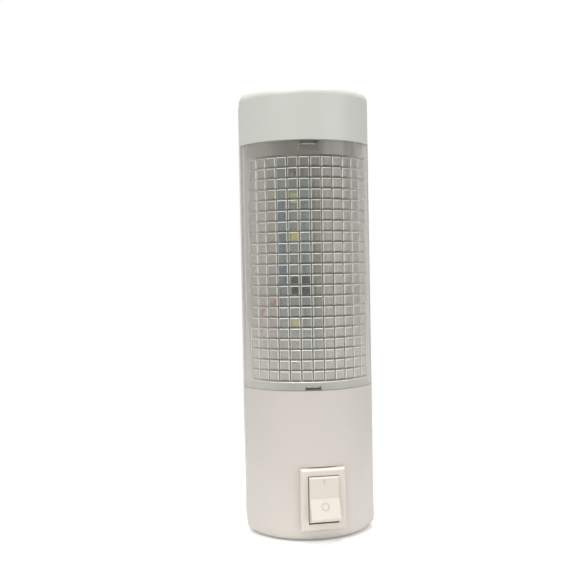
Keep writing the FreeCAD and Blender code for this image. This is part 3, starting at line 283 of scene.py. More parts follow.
# %% [markdown]
# ## The clear lens
# The lens is clear polystyrene, 1.8 mm thick. Its front is a grid of small bevelled studs with V grooves
# between them, which break up the light of three bare chips. A flat sheet with a bump map would bend nothing,
# so the studs are real: light crosses the outer face, bends, and bends again at the smooth inner face.
# All 252 studs are alike, so one is modelled and Geometry Nodes turn it round the lens's axis, column by
# column and row by row. The plain rims, sides and inner wall are one more mesh, whose border points fall
# on the studs' own, so that merging near points closes the lens.

# %% Sizes of the lens, in millimetres
LENS_LOW, LENS_HIGH = [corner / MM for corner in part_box("lens")]
FRONT_RADIUS = 24.006
CORNER_RADIUS = 5.0
HALF_WIDTH = LENS_HIGH.x
AXIS_Y = LENS_LOW.y + FRONT_RADIUS
SEAM_Y = LENS_HIGH.y
LENS_HEIGHT = LENS_HIGH.z - LENS_LOW.z
WALL = 1.8
COLUMNS, ROWS = 12, 21
COLUMN_PITCH, ROW_PITCH = 3.79, 3.5
FIRST_ROW = LENS_LOW.z + 3.2
GROOVE_HALF = 0.5
GROOVE_DEPTH = 0.42
RIM_EDGE = 0.2
REBATE, REBATE_INSET = 1.58, 0.92
SLOT_HALF, SLOT_HEIGHT = 2.65, 1.1
SLOT_FROM_LOW, SLOT_FROM_TOP = 0.35, 0.6
TURN_PITCH = COLUMN_PITCH / FRONT_RADIUS
CORNER_X = HALF_WIDTH - CORNER_RADIUS
CORNER_TURN = math.asin(CORNER_X / (FRONT_RADIUS - CORNER_RADIUS))
CORNER_Y = AXIS_Y - (FRONT_RADIUS - CORNER_RADIUS) * math.cos(CORNER_TURN)
print("lens", [round(v, 2) for v in LENS_LOW], [round(v, 2) for v in LENS_HIGH], "seam at y", round(SEAM_Y, 2))

# %% [markdown]
# A groove's section is a V with a small round at its foot and at each shoulder. It is written as a few
# distances from the groove's middle line, each with its depth.

# %% One stud
GROOVE = [(0.0, 1.0), (0.15, 0.9), (0.85, 0.12), (1.05, 0.015), (1.25, 0.0)]
STEPS = [share * GROOVE_HALF for share, _ in GROOVE]


def groove_depth(distance):
    """Depth of the surface at a distance from the middle line of the nearest groove."""
    share = distance / GROOVE_HALF
    for (near, deep), (far, shallow) in zip(GROOVE, GROOVE[1:]):
        if share <= far:
            return GROOVE_DEPTH * (deep + (shallow - deep) * (share - near) / (far - near))
    return 0.0


def cell_marks(pitch):
    """Marks across one cell: close together in its two half grooves, and one in its middle."""
    return STEPS + [pitch / 2] + [pitch - step for step in reversed(STEPS)]


def stud_mesh():
    """One cell of the grid, straight ahead of the axis, with mitred corners."""
    across, upward = cell_marks(COLUMN_PITCH), cell_marks(ROW_PITCH)
    count = len(across)
    points = []
    for v in upward:
        for u in across:
            border = min(u, COLUMN_PITCH - u, v, ROW_PITCH - v)
            radius = FRONT_RADIUS - groove_depth(border)
            angle = (u - COLUMN_PITCH / 2) / FRONT_RADIUS
            points.append(Vector((radius * math.sin(angle), -radius * math.cos(angle), v)) * MM)
    faces = []
    last = count - 2
    for j in range(count - 1):
        for i in range(count - 1):
            a, b = j * count + i, j * count + i + 1
            c, d = b + count, a + count
            if i == j or i == last - j:
                rising = i == j
                faces += [(a, b, c), (a, c, d)] if rising else [(a, b, d), (b, c, d)]
            else:
                faces.append((a, b, c, d))
    mesh = bpy.data.meshes.new("stud")
    mesh.from_pydata(points, [], faces)
    return mesh


stud = in_scene("stud", stud_mesh())
print("one stud has", len(stud.data.polygons), "faces")

# %% [markdown]
# The rest of the lens follows its plan: a wide front arc, two rounded corners and two straight sides. A
# station is a place along that plan, and the same station can be asked for at the outer face or drawn in
# by the wall. The tray's lip enters a rebate behind each side.

# %% Stations along the plan
CLEAR_OF_GRID = 9.0
CORNER_STEPS = 4


def plan_point(station, inset):
    """Place in the plan of a station, drawn in from the outer face."""
    side, kind, value = station
    if kind == "front":
        radius = FRONT_RADIUS - inset
        return side * radius * math.sin(value), AXIS_Y - radius * math.cos(value)
    if kind == "corner":
        radius = CORNER_RADIUS - inset
        return side * (CORNER_X + radius * math.sin(value)), CORNER_Y - radius * math.cos(value)
    return side * (HALF_WIDTH - inset), value


def half_stations(side):
    """Stations from the last upright groove to the seam, with how far each lies outside the grid."""
    edge, rounding = TURN_PITCH * COLUMNS / 2, math.pi / 2 - CORNER_TURN
    found = [((side, "front", edge + step / FRONT_RADIUS), step) for step in STEPS[1:]]
    plain = [(side, "front", CORNER_TURN)]
    plain += [(side, "corner", CORNER_TURN + rounding * n / CORNER_STEPS) for n in range(1, CORNER_STEPS + 1)]
    plain += [(side, "side", y) for y in (SEAM_Y - REBATE, SEAM_Y - REBATE, SEAM_Y)]
    return found + [(station, CLEAR_OF_GRID) for station in plain]


def grid_stations():
    """Stations across the studs."""
    marks = [column * COLUMN_PITCH + mark for column in range(COLUMNS) for mark in cell_marks(COLUMN_PITCH)[:-1]]
    marks.append(COLUMNS * COLUMN_PITCH)
    return [((1, "front", mark / FRONT_RADIUS - TURN_PITCH * COLUMNS / 2), 0.0) for mark in marks]


STATIONS = list(reversed(half_stations(-1))) + grid_stations() + half_stations(1)
ARCS = [side * value * FRONT_RADIUS if kind == "front" else math.inf for (side, kind, value), _ in STATIONS]
print(len(STATIONS), "stations across the lens")

# %% [markdown]
# Level lines cross those stations. At the heights of a catch slot, the two stations beside it move to its
# sides, so the slot gets square corners without a Boolean.

# %% Heights of the level lines
SLOTS = [LENS_LOW.z + SLOT_FROM_LOW, LENS_LOW.z + SLOT_FROM_LOW + SLOT_HEIGHT,
         LENS_HIGH.z - SLOT_FROM_TOP - SLOT_HEIGHT, LENS_HIGH.z - SLOT_FROM_TOP]
SLOT_SIDES = [min(range(len(ARCS)), key=lambda k: abs(ARCS[k] - side * (COLUMN_PITCH - STEPS[-1])))
              for side in (-1, 1)]
INNER_PARTS = 8


def outer_levels():
    """Heights of the outer wall's lines, with how far each lies outside the grid."""
    top_row = FIRST_ROW + ROWS * ROW_PITCH
    marks = cell_marks(ROW_PITCH)[:-1]
    levels = [(z, CLEAR_OF_GRID) for z in (LENS_LOW.z, LENS_LOW.z + RIM_EDGE, *SLOTS[:2])]
    levels += [(FIRST_ROW - step, step) for step in reversed(STEPS[1:])]
    levels += [(FIRST_ROW + row * ROW_PITCH + mark, 0.0) for row in range(ROWS) for mark in marks]
    levels += [(top_row, 0.0)] + [(top_row + step, step) for step in STEPS[1:]]
    return levels + [(z, CLEAR_OF_GRID) for z in (*SLOTS[2:], LENS_HIGH.z - RIM_EDGE, LENS_HIGH.z)]


def inner_levels():
    """Heights of the inner wall's lines."""
    parts = [LENS_LOW.z + LENS_HEIGHT * n / INNER_PARTS for n in range(1, INNER_PARTS)]
    return [LENS_LOW.z, *SLOTS[:2], *parts, *SLOTS[2:], LENS_HIGH.z]


def station_at(k, z):
    """A station at a height, moved to a slot's side where there is a slot."""
    if k in SLOT_SIDES and round(z, 4) in {round(edge, 4) for edge in SLOTS}:
        return 1, "front", math.copysign(math.asin(SLOT_HALF / FRONT_RADIUS), ARCS[k])
    return STATIONS[k][0]


def in_slot(k, low, high):
    """Whether the face after a station, between two heights, is left open for a slot."""
    middle = (low + high) / 2
    return SLOT_SIDES[0] <= k < SLOT_SIDES[1] and (SLOTS[0] < middle < SLOTS[1] or SLOTS[2] < middle < SLOTS[3])


print(len(outer_levels()), "lines on the outer wall and", len(inner_levels()), "on the inner")

# %% [markdown]
# Faces then join the lines: the outer wall without its studs and slots, the inner wall, the two end faces, the
# two seam faces and the slots' own walls.

# %% Rims, sides and inner wall of the lens
def wall_line(shape, z, drop, inset_of):
    """Points of one level line: inset_of gives how far each station is drawn in."""
    line = []
    for k, (_, outside) in enumerate(STATIONS):
        x, y = plan_point(station_at(k, z), inset_of(k, max(drop, outside)))
        line.append(shape.verts.new(Vector((x, y, z)) * MM))
    return line


def slot_walls(shape, outer, inner, outer_z, inner_z):
    """Walls of both slots, between the outer and the inner wall's lines."""
    def nearest(found, z):
        return min(range(len(found)), key=lambda n: abs(found[n] - z))

    for low, high in (SLOTS[:2], SLOTS[2:]):
        o_low, o_high = (nearest(outer_z, z) for z in (low, high))
        i_low, i_high = (nearest(inner_z, z) for z in (low, high))
        for k in range(*SLOT_SIDES):
            shape.faces.new((outer[o_low][k], outer[o_low][k + 1], inner[i_low][k + 1], inner[i_low][k]))
            shape.faces.new((inner[i_high][k], inner[i_high][k + 1], outer[o_high][k + 1], outer[o_high][k]))
        for k in SLOT_SIDES:
            shape.faces.new((outer[o_low][k], inner[i_low][k], inner[i_high][k], outer[o_high][k]))


def lens_frame_mesh():
    """Everything of the lens but its studs."""
    shape = bmesh.new()
    levels, inner_z = outer_levels(), inner_levels()
    count = len(STATIONS)
    rebated = (0, 1, count - 2, count - 1)
    outer = []
    for z, drop in levels:
        rim = RIM_EDGE if z in (LENS_LOW.z, LENS_HIGH.z) else 0.0
        outer.append(wall_line(shape, z, drop, lambda k, away: rim + groove_depth(away)))
    inner = [wall_line(shape, z, CLEAR_OF_GRID, lambda k, away: REBATE_INSET if k in rebated else WALL)
             for z in inner_z]
    first = next(k for k, (_, outside) in enumerate(STATIONS) if outside == 0.0)
    grid = range(first, first + len(grid_stations()) - 1)
    for j, ((low, drop), (high, next_drop)) in enumerate(zip(levels, levels[1:])):
        for k in range(count - 1):
            is_stud = k in grid and drop == 0.0 and next_drop == 0.0
            if not is_stud and not in_slot(k, low, high):
                shape.faces.new((outer[j][k], outer[j][k + 1], outer[j + 1][k + 1], outer[j + 1][k]))
    for j, (low, high) in enumerate(zip(inner_z, inner_z[1:])):
        for k in range(count - 1):
            if not in_slot(k, low, high):
                shape.faces.new((inner[j][k + 1], inner[j][k], inner[j + 1][k], inner[j + 1][k + 1]))
    for k in range(count - 1):
        shape.faces.new((inner[0][k], inner[0][k + 1], outer[0][k + 1], outer[0][k]))
        shape.faces.new((outer[-1][k], outer[-1][k + 1], inner[-1][k + 1], inner[-1][k]))
    for k in (0, count - 1):
        ring = [line[k] for line in outer] + [line[k] for line in reversed(inner)]
        shape.faces.new(ring if k else list(reversed(ring)))
    slot_walls(shape, outer, inner, [z for z, _ in levels], inner_z)
    mesh = bpy.data.meshes.new("lens_frame")
    shape.to_mesh(mesh)
    shape.free()
    return mesh


lens_frame = in_scene("lens_frame", lens_frame_mesh())
print("rims, sides and inner wall have", len(lens_frame.data.polygons), "faces")

# %% [markdown]
# The tree below lays the stud out. Each point's number gives its column and row: the remainder after
# dividing by the columns, and the whole part. The column sets a turn about the lens's axis and the row
# sets a height. The tree ends by making the copies real, joining the frame and merging the borders.

# %% Geometry tree for the studs
MERGE_WITHIN_MM = 0.004


def geometry_tree(name, inputs):
    """An empty geometry tree and its inputs, each asked for as a kind of socket with its usual value."""
    tree = bpy.data.node_groups.new(name, "GeometryNodeTree")
    for label, (kind, value) in {"Geometry": ("Geometry", None), **inputs}.items():
        made = tree.interface.new_socket(name=label, in_out="INPUT", socket_type="NodeSocket" + kind)
        if value is not None:
            made.default_value = value
    tree.interface.new_socket(name="Geometry", in_out="OUTPUT", socket_type="NodeSocketGeometry")
    return tree, add(tree, "NodeGroupInput").outputs


def number(tree, operation, first, second):
    """Sum, product or other sum of two numbers, as an output socket."""
    return add(tree, "ShaderNodeMath", {"operation": operation}, {0: first, 1: second}).outputs[0]


def smooth_but_sharp(tree, geometry, limit):
    """Smooth shading, except across edges that turn by more than a limit."""
    turn = add(tree, "GeometryNodeInputMeshEdgeAngle").outputs["Unsigned Angle"]
    sharp = add(tree, "FunctionNodeCompare", {"data_type": "FLOAT", "operation": "GREATER_THAN"}, {0: turn, 1: limit})
    smooth = add(tree, "GeometryNodeSetShadeSmooth", inputs={0: geometry, "Shade Smooth": True})
    return add(tree, "GeometryNodeSetShadeSmooth", {"domain": "EDGE"},
               {0: smooth.outputs[0], "Selection": sharp.outputs[0], "Shade Smooth": False}).outputs[0]


def stud_tree():
    """Geometry tree that sets copies of a stud round an axis and joins them to the frame."""
    tree, given = geometry_tree("studs_round_an_axis", {
        "Columns": ("Int", 1), "Rows": ("Int", 1), "Turn pitch": ("Float", 0.1), "Row pitch": ("Float", 0.001),
        "First row": ("Float", 0.0), "Axis depth": ("Float", 0.0), "Smooth under": ("Float", 0.2),
        "Frame": ("Object", None), "Finish": ("Material", None)})
    total = number(tree, "MULTIPLY", given["Columns"], given["Rows"])
    index = add(tree, "GeometryNodeInputIndex").outputs[0]
    column = number(tree, "MODULO", index, given["Columns"])
    row = number(tree, "FLOOR", number(tree, "DIVIDE", index, given["Columns"]), 0.0)
    middle = number(tree, "MULTIPLY", number(tree, "SUBTRACT", given["Columns"], 1.0), 0.5)
    turn = number(tree, "MULTIPLY", number(tree, "SUBTRACT", column, middle), given["Turn pitch"])
    height = number(tree, "ADD", number(tree, "MULTIPLY", row, given["Row pitch"]), given["First row"])
    place = add(tree, "ShaderNodeCombineXYZ", inputs={1: given["Axis depth"], 2: height}).outputs[0]
    facing = add(tree, "ShaderNodeCombineXYZ", inputs={2: turn}).outputs[0]
    points = add(tree, "GeometryNodePoints", inputs={"Count": total, "Position": place}).outputs[0]
    copies = add(tree, "GeometryNodeInstanceOnPoints",
                 inputs={"Points": points, "Instance": given["Geometry"], "Rotation": facing}).outputs[0]
    rest = add(tree, "GeometryNodeObjectInfo", inputs={"Object": given["Frame"]}).outputs["Geometry"]
    both = add(tree, "GeometryNodeJoinGeometry")
    real = add(tree, "GeometryNodeRealizeInstances", inputs={0: copies}).outputs[0]
    tree.links.new(real, both.inputs[0])
    tree.links.new(rest, both.inputs[0])
    closed = add(tree, "GeometryNodeMergeByDistance", inputs={"Geometry": both.outputs[0],
                                                               "Distance": MERGE_WITHIN_MM * MM})
    edged = smooth_but_sharp(tree, closed.outputs[0], given["Smooth under"])
    finish = add(tree, "GeometryNodeSetMaterial", inputs={"Geometry": edged, "Material": given["Finish"]})
    add(tree, "NodeGroupOutput", inputs={0: finish.outputs[0]})
    return tree


def run_tree(carrier, tree, values, name):
    """Run a geometry tree on an object and keep the result as a plain mesh under a new name."""
    modifier = carrier.modifiers.new("tree", "NODES")
    modifier.node_group = tree
    for item in tree.interface.items_tree:
        if item.item_type == "SOCKET" and item.in_out == "INPUT" and item.name in values:
            modifier[item.identifier] = values[item.name]
    graph = bpy.context.evaluated_depsgraph_get()
    mesh = bpy.data.meshes.new_from_object(carrier.evaluated_get(graph))
    mesh.name = name
    piece = in_scene(name, mesh)
    bpy.data.objects.remove(carrier)
    return piece


studs_round_an_axis = stud_tree()
print("tree", studs_round_an_axis.name, "has", len(studs_round_an_axis.nodes), "nodes")

# %% [markdown]
# Clear polystyrene bends light more than acrylic does, with an IOR near 1.59. A cheap moulding of it is a
# little milky. Here it is milkier towards its lower end, and towards its sides, where the extra milk is painted
# reflection: it stands in for the paler veil of faces seen at a slant. The milk is a small share of plain
# diffuse white in place of transmission. The mould's flats are polished but its fine grooves are left as cut,
# so the studs' shoulders are frosted. The grooves' feet and the ledges that face down get a darker grey, which is
# painted shade. Both are found by their distance from the lens's axis, which is less than the flats' and more
# than the inner wall's. A shadow ray can't be aimed through a surface that bends it, so shadow rays alone pass
# straight through, and the lamps reach the board.

# %% Clear lens finish
LIGHT_THROUGH = "#bcbcb6"
GROOVE_SHADE_COLOUR = "#9a9a93"
FROST = 0.7
MILK_BLUR = 0.2
MILKY_FOOT_MM = 34.0
SHOULDER_MM = (0.012, 0.035)
FOOT_MM = (0.2, 0.28)
BELOW_GROOVES_MM = (0.1, 0.3)
FADE_ASIDE_MM = (9, 20.4)


def ramp(tree, value, start, end, low=0.0, high=1.0):
    """Value carried smoothly from low to high between two places in millimetres."""
    return add(tree, "ShaderNodeMapRange", {"interpolation_type": "SMOOTHSTEP"},
               {"Value": value, "From Min": start * MM, "From Max": end * MM,
                "To Min": low, "To Max": high}).outputs["Result"]


def groove_parts(tree, spot, normal):
    """The frosted shoulders, and the painted shade at the grooves' feet and under the ledges that face down, each as
    a share from 0 to 1.
    """
    away = add(tree, "ShaderNodeCombineXYZ",
               inputs={0: spot["X"], 1: number(tree, "SUBTRACT", spot["Y"], AXIS_Y * MM)}).outputs[0]
    radius = add(tree, "ShaderNodeVectorMath", {"operation": "LENGTH"}, {0: away}).outputs["Value"]
    slope = ramp(tree, radius, FRONT_RADIUS - SHOULDER_MM[1], FRONT_RADIUS - SHOULDER_MM[0], 1.0, 0.0)
    high = ramp(tree, radius, FRONT_RADIUS - FOOT_MM[1], FRONT_RADIUS - FOOT_MM[0])
    deepest = FRONT_RADIUS - GROOVE_DEPTH
    outer = ramp(tree, radius, deepest - BELOW_GROOVES_MM[1], deepest - BELOW_GROOVES_MM[0])
    near = ramp(tree, number(tree, "ABSOLUTE", spot["X"], 0.0), *FADE_ASIDE_MM, 1.0, 0.15)
    slope = number(tree, "MULTIPLY", number(tree, "MULTIPLY", slope, outer), near)
    # Faces that turn down get painted shade in place of frost.
    tilt = add(tree, "ShaderNodeSeparateXYZ", inputs={0: normal}).outputs["Z"]
    ledge = add(tree, "ShaderNodeMapRange", inputs={"Value": tilt, "From Min": -0.35, "From Max": 0.0})
    white = number(tree, "MULTIPLY", high, ledge.outputs["Result"])
    return (number(tree, "MULTIPLY", slope, white),
            number(tree, "MULTIPLY", slope, number(tree, "SUBTRACT", 1.0, white)))


def clear_polystyrene(name, tint, clear_middle=0.97, clear_side=0.8, clear_foot=0.7):
    """Clear plastic, milkier at its foot and, as painted reflection, at its sides, with frosted grooves and painted
    shade at their feet and under their downward ledges.
    """
    material, tree, here = new_material(name)
    place = here["Object"]
    cloud = add(tree, "ShaderNodeTexNoise", inputs={"Vector": place, "Scale": 1 / (4 * MM), "Detail": 4.0})
    haze = add(tree, "ShaderNodeMapRange", inputs={"Value": cloud.outputs["Fac"], "From Min": 0.35, "From Max": 0.75,
                                                   "To Min": 0.08, "To Max": 0.15})
    ripple = add(tree, "ShaderNodeBump", inputs={"Height": cloud.outputs["Fac"], "Distance": 0.02 * MM,
                                                 "Strength": 0.25})
    spot = add(tree, "ShaderNodeSeparateXYZ", inputs={0: place}).outputs
    # Painted reflection: less clear towards the sides, standing in for the veil of faces seen at a slant.
    aside = ramp(tree, number(tree, "ABSOLUTE", spot["X"], 0.0), 6, 19, clear_middle, clear_side)
    upward = ramp(tree, spot["Z"], LENS_LOW.z, LENS_LOW.z + MILKY_FOOT_MM, clear_foot, 1.0)
    shoulder, foot = groove_parts(tree, spot, here["Normal"])
    frost = number(tree, "MULTIPLY", shoulder, FROST)
    clear = number(tree, "MULTIPLY", number(tree, "MULTIPLY", aside, upward), number(tree, "SUBTRACT", 1.0, frost))
    blur = number(tree, "MULTIPLY", number(tree, "SUBTRACT", 1.0, clear), MILK_BLUR)
    # Painted shade: the groove shade colour is mixed in at the grooves' feet and under downward ledges.
    skin = add(tree, "ShaderNodeMix", {"data_type": "RGBA"},
               {"Factor": foot, 6: linear(tint), 7: linear(GROOVE_SHADE_COLOUR)})
    body = add(tree, "ShaderNodeBsdfPrincipled",
               inputs={"Base Color": skin.outputs[2], "Roughness": number(tree, "ADD", haze.outputs["Result"], blur),
                       "IOR": 1.59, "Transmission Weight": clear, "Normal": ripple.outputs["Normal"]})
    straight = add(tree, "ShaderNodeBsdfTransparent", inputs={"Color": linear(LIGHT_THROUGH)})
    shadow = add(tree, "ShaderNodeLightPath").outputs["Is Shadow Ray"]
    either = add(tree, "ShaderNodeMixShader",
                 inputs={0: shadow, 1: body.outputs["BSDF"], 2: straight.outputs["BSDF"]})
    add(tree, "ShaderNodeOutputMaterial", inputs={"Surface": either.outputs[0]})
    return material


lens_finish = clear_polystyrene("clear_polystyrene_lens", "#f1f0ea")
print(lens_finish.name, "lets", LIGHT_THROUGH, "of the lamps' light through each face")

# %% [markdown]
# The tree runs on the stud, with the frame as one of its inputs. The result is one closed mesh, whose faces are
# turned outwards together, and it takes the place of the measured lens.

# %% The finished lens
lens = run_tree(stud, studs_round_an_axis, {
    "Columns": COLUMNS, "Rows": ROWS, "Turn pitch": TURN_PITCH, "Row pitch": ROW_PITCH * MM,
    "First row": FIRST_ROW * MM, "Axis depth": AXIS_Y * MM, "Frame": lens_frame, "Finish": lens_finish},
    "studded_lens")
bpy.data.objects.remove(lens_frame)
cleaned = bmesh.new()
cleaned.from_mesh(lens.data)
bmesh.ops.recalc_face_normals(cleaned, faces=cleaned.faces)
open_edges = sum(1 for edge in cleaned.edges if len(edge.link_faces) != 2)
cleaned.to_mesh(lens.data)
cleaned.free()
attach(lens, "housing")
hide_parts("lens")
print("lens has", len(lens.data.polygons), "faces and", open_edges, "open edges")

# %% [markdown]
# ## Marks on the rocker
# The rocker carries the two usual marks, a bar for on and a ring for off, moulded a tenth of a millimetre
# proud. Each is an outline swept or closed in bmesh and laid on its half of the rocker, whose place comes
# from the hinge. The front of the rocker is a shallow V, so the two halves lean differently.

# %% The rocker's two halves
HINGE = next(joint for joint in frame["joints"] if joint["name"] == "rocker_hinge")
PIVOT = Vector(HINGE["pos_m"])
ACROSS = Vector(HINGE["axis"])
UP = Vector((0.0, 0.0, 1.0))
OUTWARD = ACROSS.cross(UP)
THROW, FACET = math.radians(13.0), math.radians(11.0)
VALLEY_FROM_PIVOT = 3.3
VALLEY = PIVOT + (OUTWARD * math.cos(THROW) + UP * math.sin(THROW)) * VALLEY_FROM_PIVOT * MM


def half_of_rocker(lean):
    """The way up one half of the rocker's front, and the way straight out of it."""
    return UP * math.cos(lean) - OUTWARD * math.sin(lean), OUTWARD * math.cos(lean) + UP * math.sin(lean)


print("the halves lean back", [round(math.degrees(lean)) for lean in (THROW - FACET, THROW + FACET)], "degrees")

# %% [markdown]
# Each mark starts as a few closed loops of points, one for each corner of its line's section. The ring's loops
# join into a closed band, and the bar's end in a cap. Both sink a little into the rocker, so no gap shows.

# %% Bar and ring
MARK_RISE, MARK_SUNK, MARK_EDGE = 0.14, 0.15, 0.05
RING_RADIUS, RING_LINE, RING_BELOW = 1.35, 0.36, 2.6
BAR_LENGTH, BAR_WIDTH, BAR_ABOVE = 1.7, 0.45, 5.6
MARK_STEPS = 48


def stitch(shape, loops, closed):
    """Faces between loops of points: the last meets the first, or else both ends are filled."""
    rows = [[shape.verts.new(point) for point in loop] for loop in loops]
    pairs = list(zip(rows, rows[1:])) + ([(rows[-1], rows[0])] if closed else [])
    for low, high in pairs:
        for k in range(len(low)):
            following = (k + 1) % len(low)
            shape.faces.new((low[k], low[following], high[following], high[k]))
    if not closed:
        shape.faces.new(rows[0])
        shape.faces.new(rows[-1])


def mark_loop(centre, frame_of, radius, straight, rise):
    """Closed line on the rocker: a circle whose upper and lower halves are drawn apart by a straight."""
    along, out = frame_of
    points = []
    for step in range(MARK_STEPS):
        angle = 2 * math.pi * (step + 0.5) / MARK_STEPS
        length = radius * math.sin(angle) + math.copysign(straight / 2, math.sin(angle))
        points.append(centre + (ACROSS * radius * math.cos(angle) + along * length + out * rise) * MM)
    return points


def rocker_marks_mesh():
    """The ring on the lower half and the bar on the upper."""
    shape = bmesh.new()
    low_half, high_half = half_of_rocker(THROW + FACET), half_of_rocker(THROW - FACET)
    ring_at = VALLEY - low_half[0] * RING_BELOW * MM
    bar_at = VALLEY + high_half[0] * BAR_ABOVE * MM
    inner = RING_RADIUS - RING_LINE
    section = [(RING_RADIUS, -MARK_SUNK), (RING_RADIUS, MARK_RISE - MARK_EDGE), (RING_RADIUS - MARK_EDGE, MARK_RISE),
               (inner + MARK_EDGE, MARK_RISE), (inner, MARK_RISE - MARK_EDGE), (inner, -MARK_SUNK)]
    stitch(shape, [mark_loop(ring_at, low_half, radius, 0.0, rise) for radius, rise in section], True)
    half, straight = BAR_WIDTH / 2, BAR_LENGTH - BAR_WIDTH
    section = [(half, -MARK_SUNK), (half, MARK_RISE - MARK_EDGE), (half - MARK_EDGE, MARK_RISE)]
    stitch(shape, [mark_loop(bar_at, high_half, radius, straight, rise) for radius, rise in section], False)
    return closed_mesh(shape, "rocker_marks")


mark_finish = moulded_plastic("nylon_mark_ivory", "#d2cbc0", "#ccc5b9", 0.4, edge_mm=0.04, scatter_mm=0.1)
rocker_marks = in_scene("rocker_marks", rocker_marks_mesh())
rocker_marks.data.materials.append(mark_finish)
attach(rocker_marks, "rocker")
print("marks have", len(rocker_marks.data.polygons), "faces")

# %% [markdown]
# ## Screws
# Eight pan head screws hold the light together: four in the tray's counterbores, two on the plate over the
# blades and two on the board. Each is cold headed and thread rolled, with a cross pressed into its head. One
# screw is turned about its axis as a profile, its cross is cut with a Boolean, and Geometry Nodes set copies
# at the places that the measured nodes give, each turned by a random angle as a driver leaves it.

# %% One screw
THREAD_PITCH = 0.9
THREAD_ROOT = 0.8
CROSS_ARM, CROSS_WEB = 0.52, 0.11
SCREW_SIDES = 32


def screw_profile(head_radius, head_height, shank_radius, length):
    """Half outline of a screw that stands on its tip, as (radius, height) from the head's underside."""
    root = shank_radius * THREAD_ROOT
    dome = [(head_radius * math.sin(turn), head_height * (0.45 + 0.55 * math.cos(turn)))
            for turn in [math.pi / 2 * step / 6 for step in range(7)]]
    line = dome + [(head_radius, 0.08 * head_height), (head_radius * 0.97, 0.0), (shank_radius, 0.0)]
    for turn in range(int((length - 2 * shank_radius) / THREAD_PITCH)):
        top = -0.5 - turn * THREAD_PITCH
        line += [(root, top), (shank_radius, top - THREAD_PITCH * 0.45), (shank_radius, top - THREAD_PITCH * 0.55)]
    return line + [(root, -length + shank_radius), (shank_radius * 0.2, -length), (0.0, -length)]


def cross_mesh(head_radius, head_height):
    """Tapered cross that the Boolean takes out of the head."""
    shape = bmesh.new()
    arm, web = head_radius * CROSS_ARM, head_radius * CROSS_WEB
    outline = [(arm, web), (web, web), (web, arm), (-web, arm), (-web, web), (-arm, web),
               (-arm, -web), (-web, -web), (-web, -arm), (web, -arm), (web, -web), (arm, -web)]
    levels = [(0.55, head_height * 0.35), (1.0, head_height * 1.02), (1.0, head_height * 1.3)]
    stitch(shape, [[Vector((x * share, y * share, z)) * MM for x, y in outline] for share, z in levels], False)
    return closed_mesh(shape, "cross")


def screw_object(head_radius, head_height, shank_radius, length):
    """One screw with its cross cut by a live Boolean, ready to carry a geometry tree."""
    turns = [2 * math.pi * k / SCREW_SIDES for k in range(SCREW_SIDES)]
    shape = bmesh.new()
    stitch(shape, [[Vector((radius * math.cos(turn), radius * math.sin(turn), z)) * MM for turn in turns]
                   for radius, z in screw_profile(head_radius, head_height, shank_radius, length)[1:-1]], False)
    screw = in_scene("screw", closed_mesh(shape, "screw"))
    cutter = in_scene("cross", cross_mesh(head_radius, head_height))
    cut = screw.modifiers.new("cross", "BOOLEAN")
    cut.operation, cut.solver, cut.object = "DIFFERENCE", "EXACT", cutter
    return screw, cutter


print("threads", THREAD_PITCH, "mm apart on", SCREW_SIDES, "sides")

# %% [markdown]
# The tree takes the places as the points of another object. It turns each copy about its own axis by a random
# angle of up to a quarter turn, because the cross looks the same after that.

# %% Geometry tree for the screws
def screw_tree():
    """Geometry tree that sets copies of a screw at the points of another object."""
    tree, given = geometry_tree("screws_at_places", {
        "Places": ("Object", None), "Facing": ("Vector", (0.0, 0.0, 0.0)), "Seed": ("Int", 7),
        "Smooth under": ("Float", 0.6), "Finish": ("Material", None)})
    places = add(tree, "GeometryNodeObjectInfo", inputs={"Object": given["Places"]}).outputs["Geometry"]
    copies = add(tree, "GeometryNodeInstanceOnPoints",
                 inputs={"Points": places, "Instance": given["Geometry"], "Rotation": given["Facing"]}).outputs[0]
    angle = add(tree, "FunctionNodeRandomValue", {"data_type": "FLOAT"}, {"Seed": given["Seed"]})
    angle.inputs[3].default_value = math.pi / 2
    own_turn = add(tree, "ShaderNodeCombineXYZ", inputs={2: angle.outputs[1]}).outputs[0]
    turned = add(tree, "GeometryNodeRotateInstances", inputs={0: copies, "Rotation": own_turn}).outputs[0]
    real = add(tree, "GeometryNodeRealizeInstances", inputs={0: turned}).outputs[0]
    edged = smooth_but_sharp(tree, real, given["Smooth under"])
    finish = add(tree, "GeometryNodeSetMaterial", inputs={0: edged, "Material": given["Finish"]})
    add(tree, "NodeGroupOutput", inputs={0: finish.outputs[0]})
    return tree


screws_at_places = screw_tree()
print("tree", screws_at_places.name, "has", len(screws_at_places.nodes), "nodes")

# %% [markdown]
# Each measured node of screws gives only its box. Its corners, drawn in by the head's radius, are the places:
# four for the case, and two for the plate, whose box is one head high. The board's box is a hair wider than a
# head, so each of its two places comes out twice, 0.02 mm apart.

# %% Set the screws
def set_screws(node, head_radius, head_height, shank_radius, length, to_rear, seed):
    """Replace one node of screws: the places are the corners of its box, drawn in by the head's radius."""
    low, high = [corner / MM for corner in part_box(node)]
    spots = sorted({(round(x, 2), round(z, 2)) for x in (low.x + head_radius, high.x - head_radius)
                    for z in (low.z + head_radius, high.z - head_radius)})
    y = high.y - head_height if to_rear else low.y + head_height
    mesh = bpy.data.meshes.new("places")
    mesh.from_pydata([Vector((x, y, z)) * MM for x, z in spots], [], [])
    places = in_scene("places", mesh)
    screw, cutter = screw_object(head_radius, head_height, shank_radius, length)
    facing = (-math.pi / 2 if to_rear else math.pi / 2, 0.0, 0.0)
    made = run_tree(screw, screws_at_places, {
        "Places": places, "Facing": facing, "Seed": seed, "Finish": zinc_plate}, "cross_head_" + node)
    bpy.data.objects.remove(places)
    bpy.data.objects.remove(cutter)
    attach(made, "housing")
    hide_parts(node)
    print(made.name, "at", spots, "with", len(made.data.polygons), "faces")


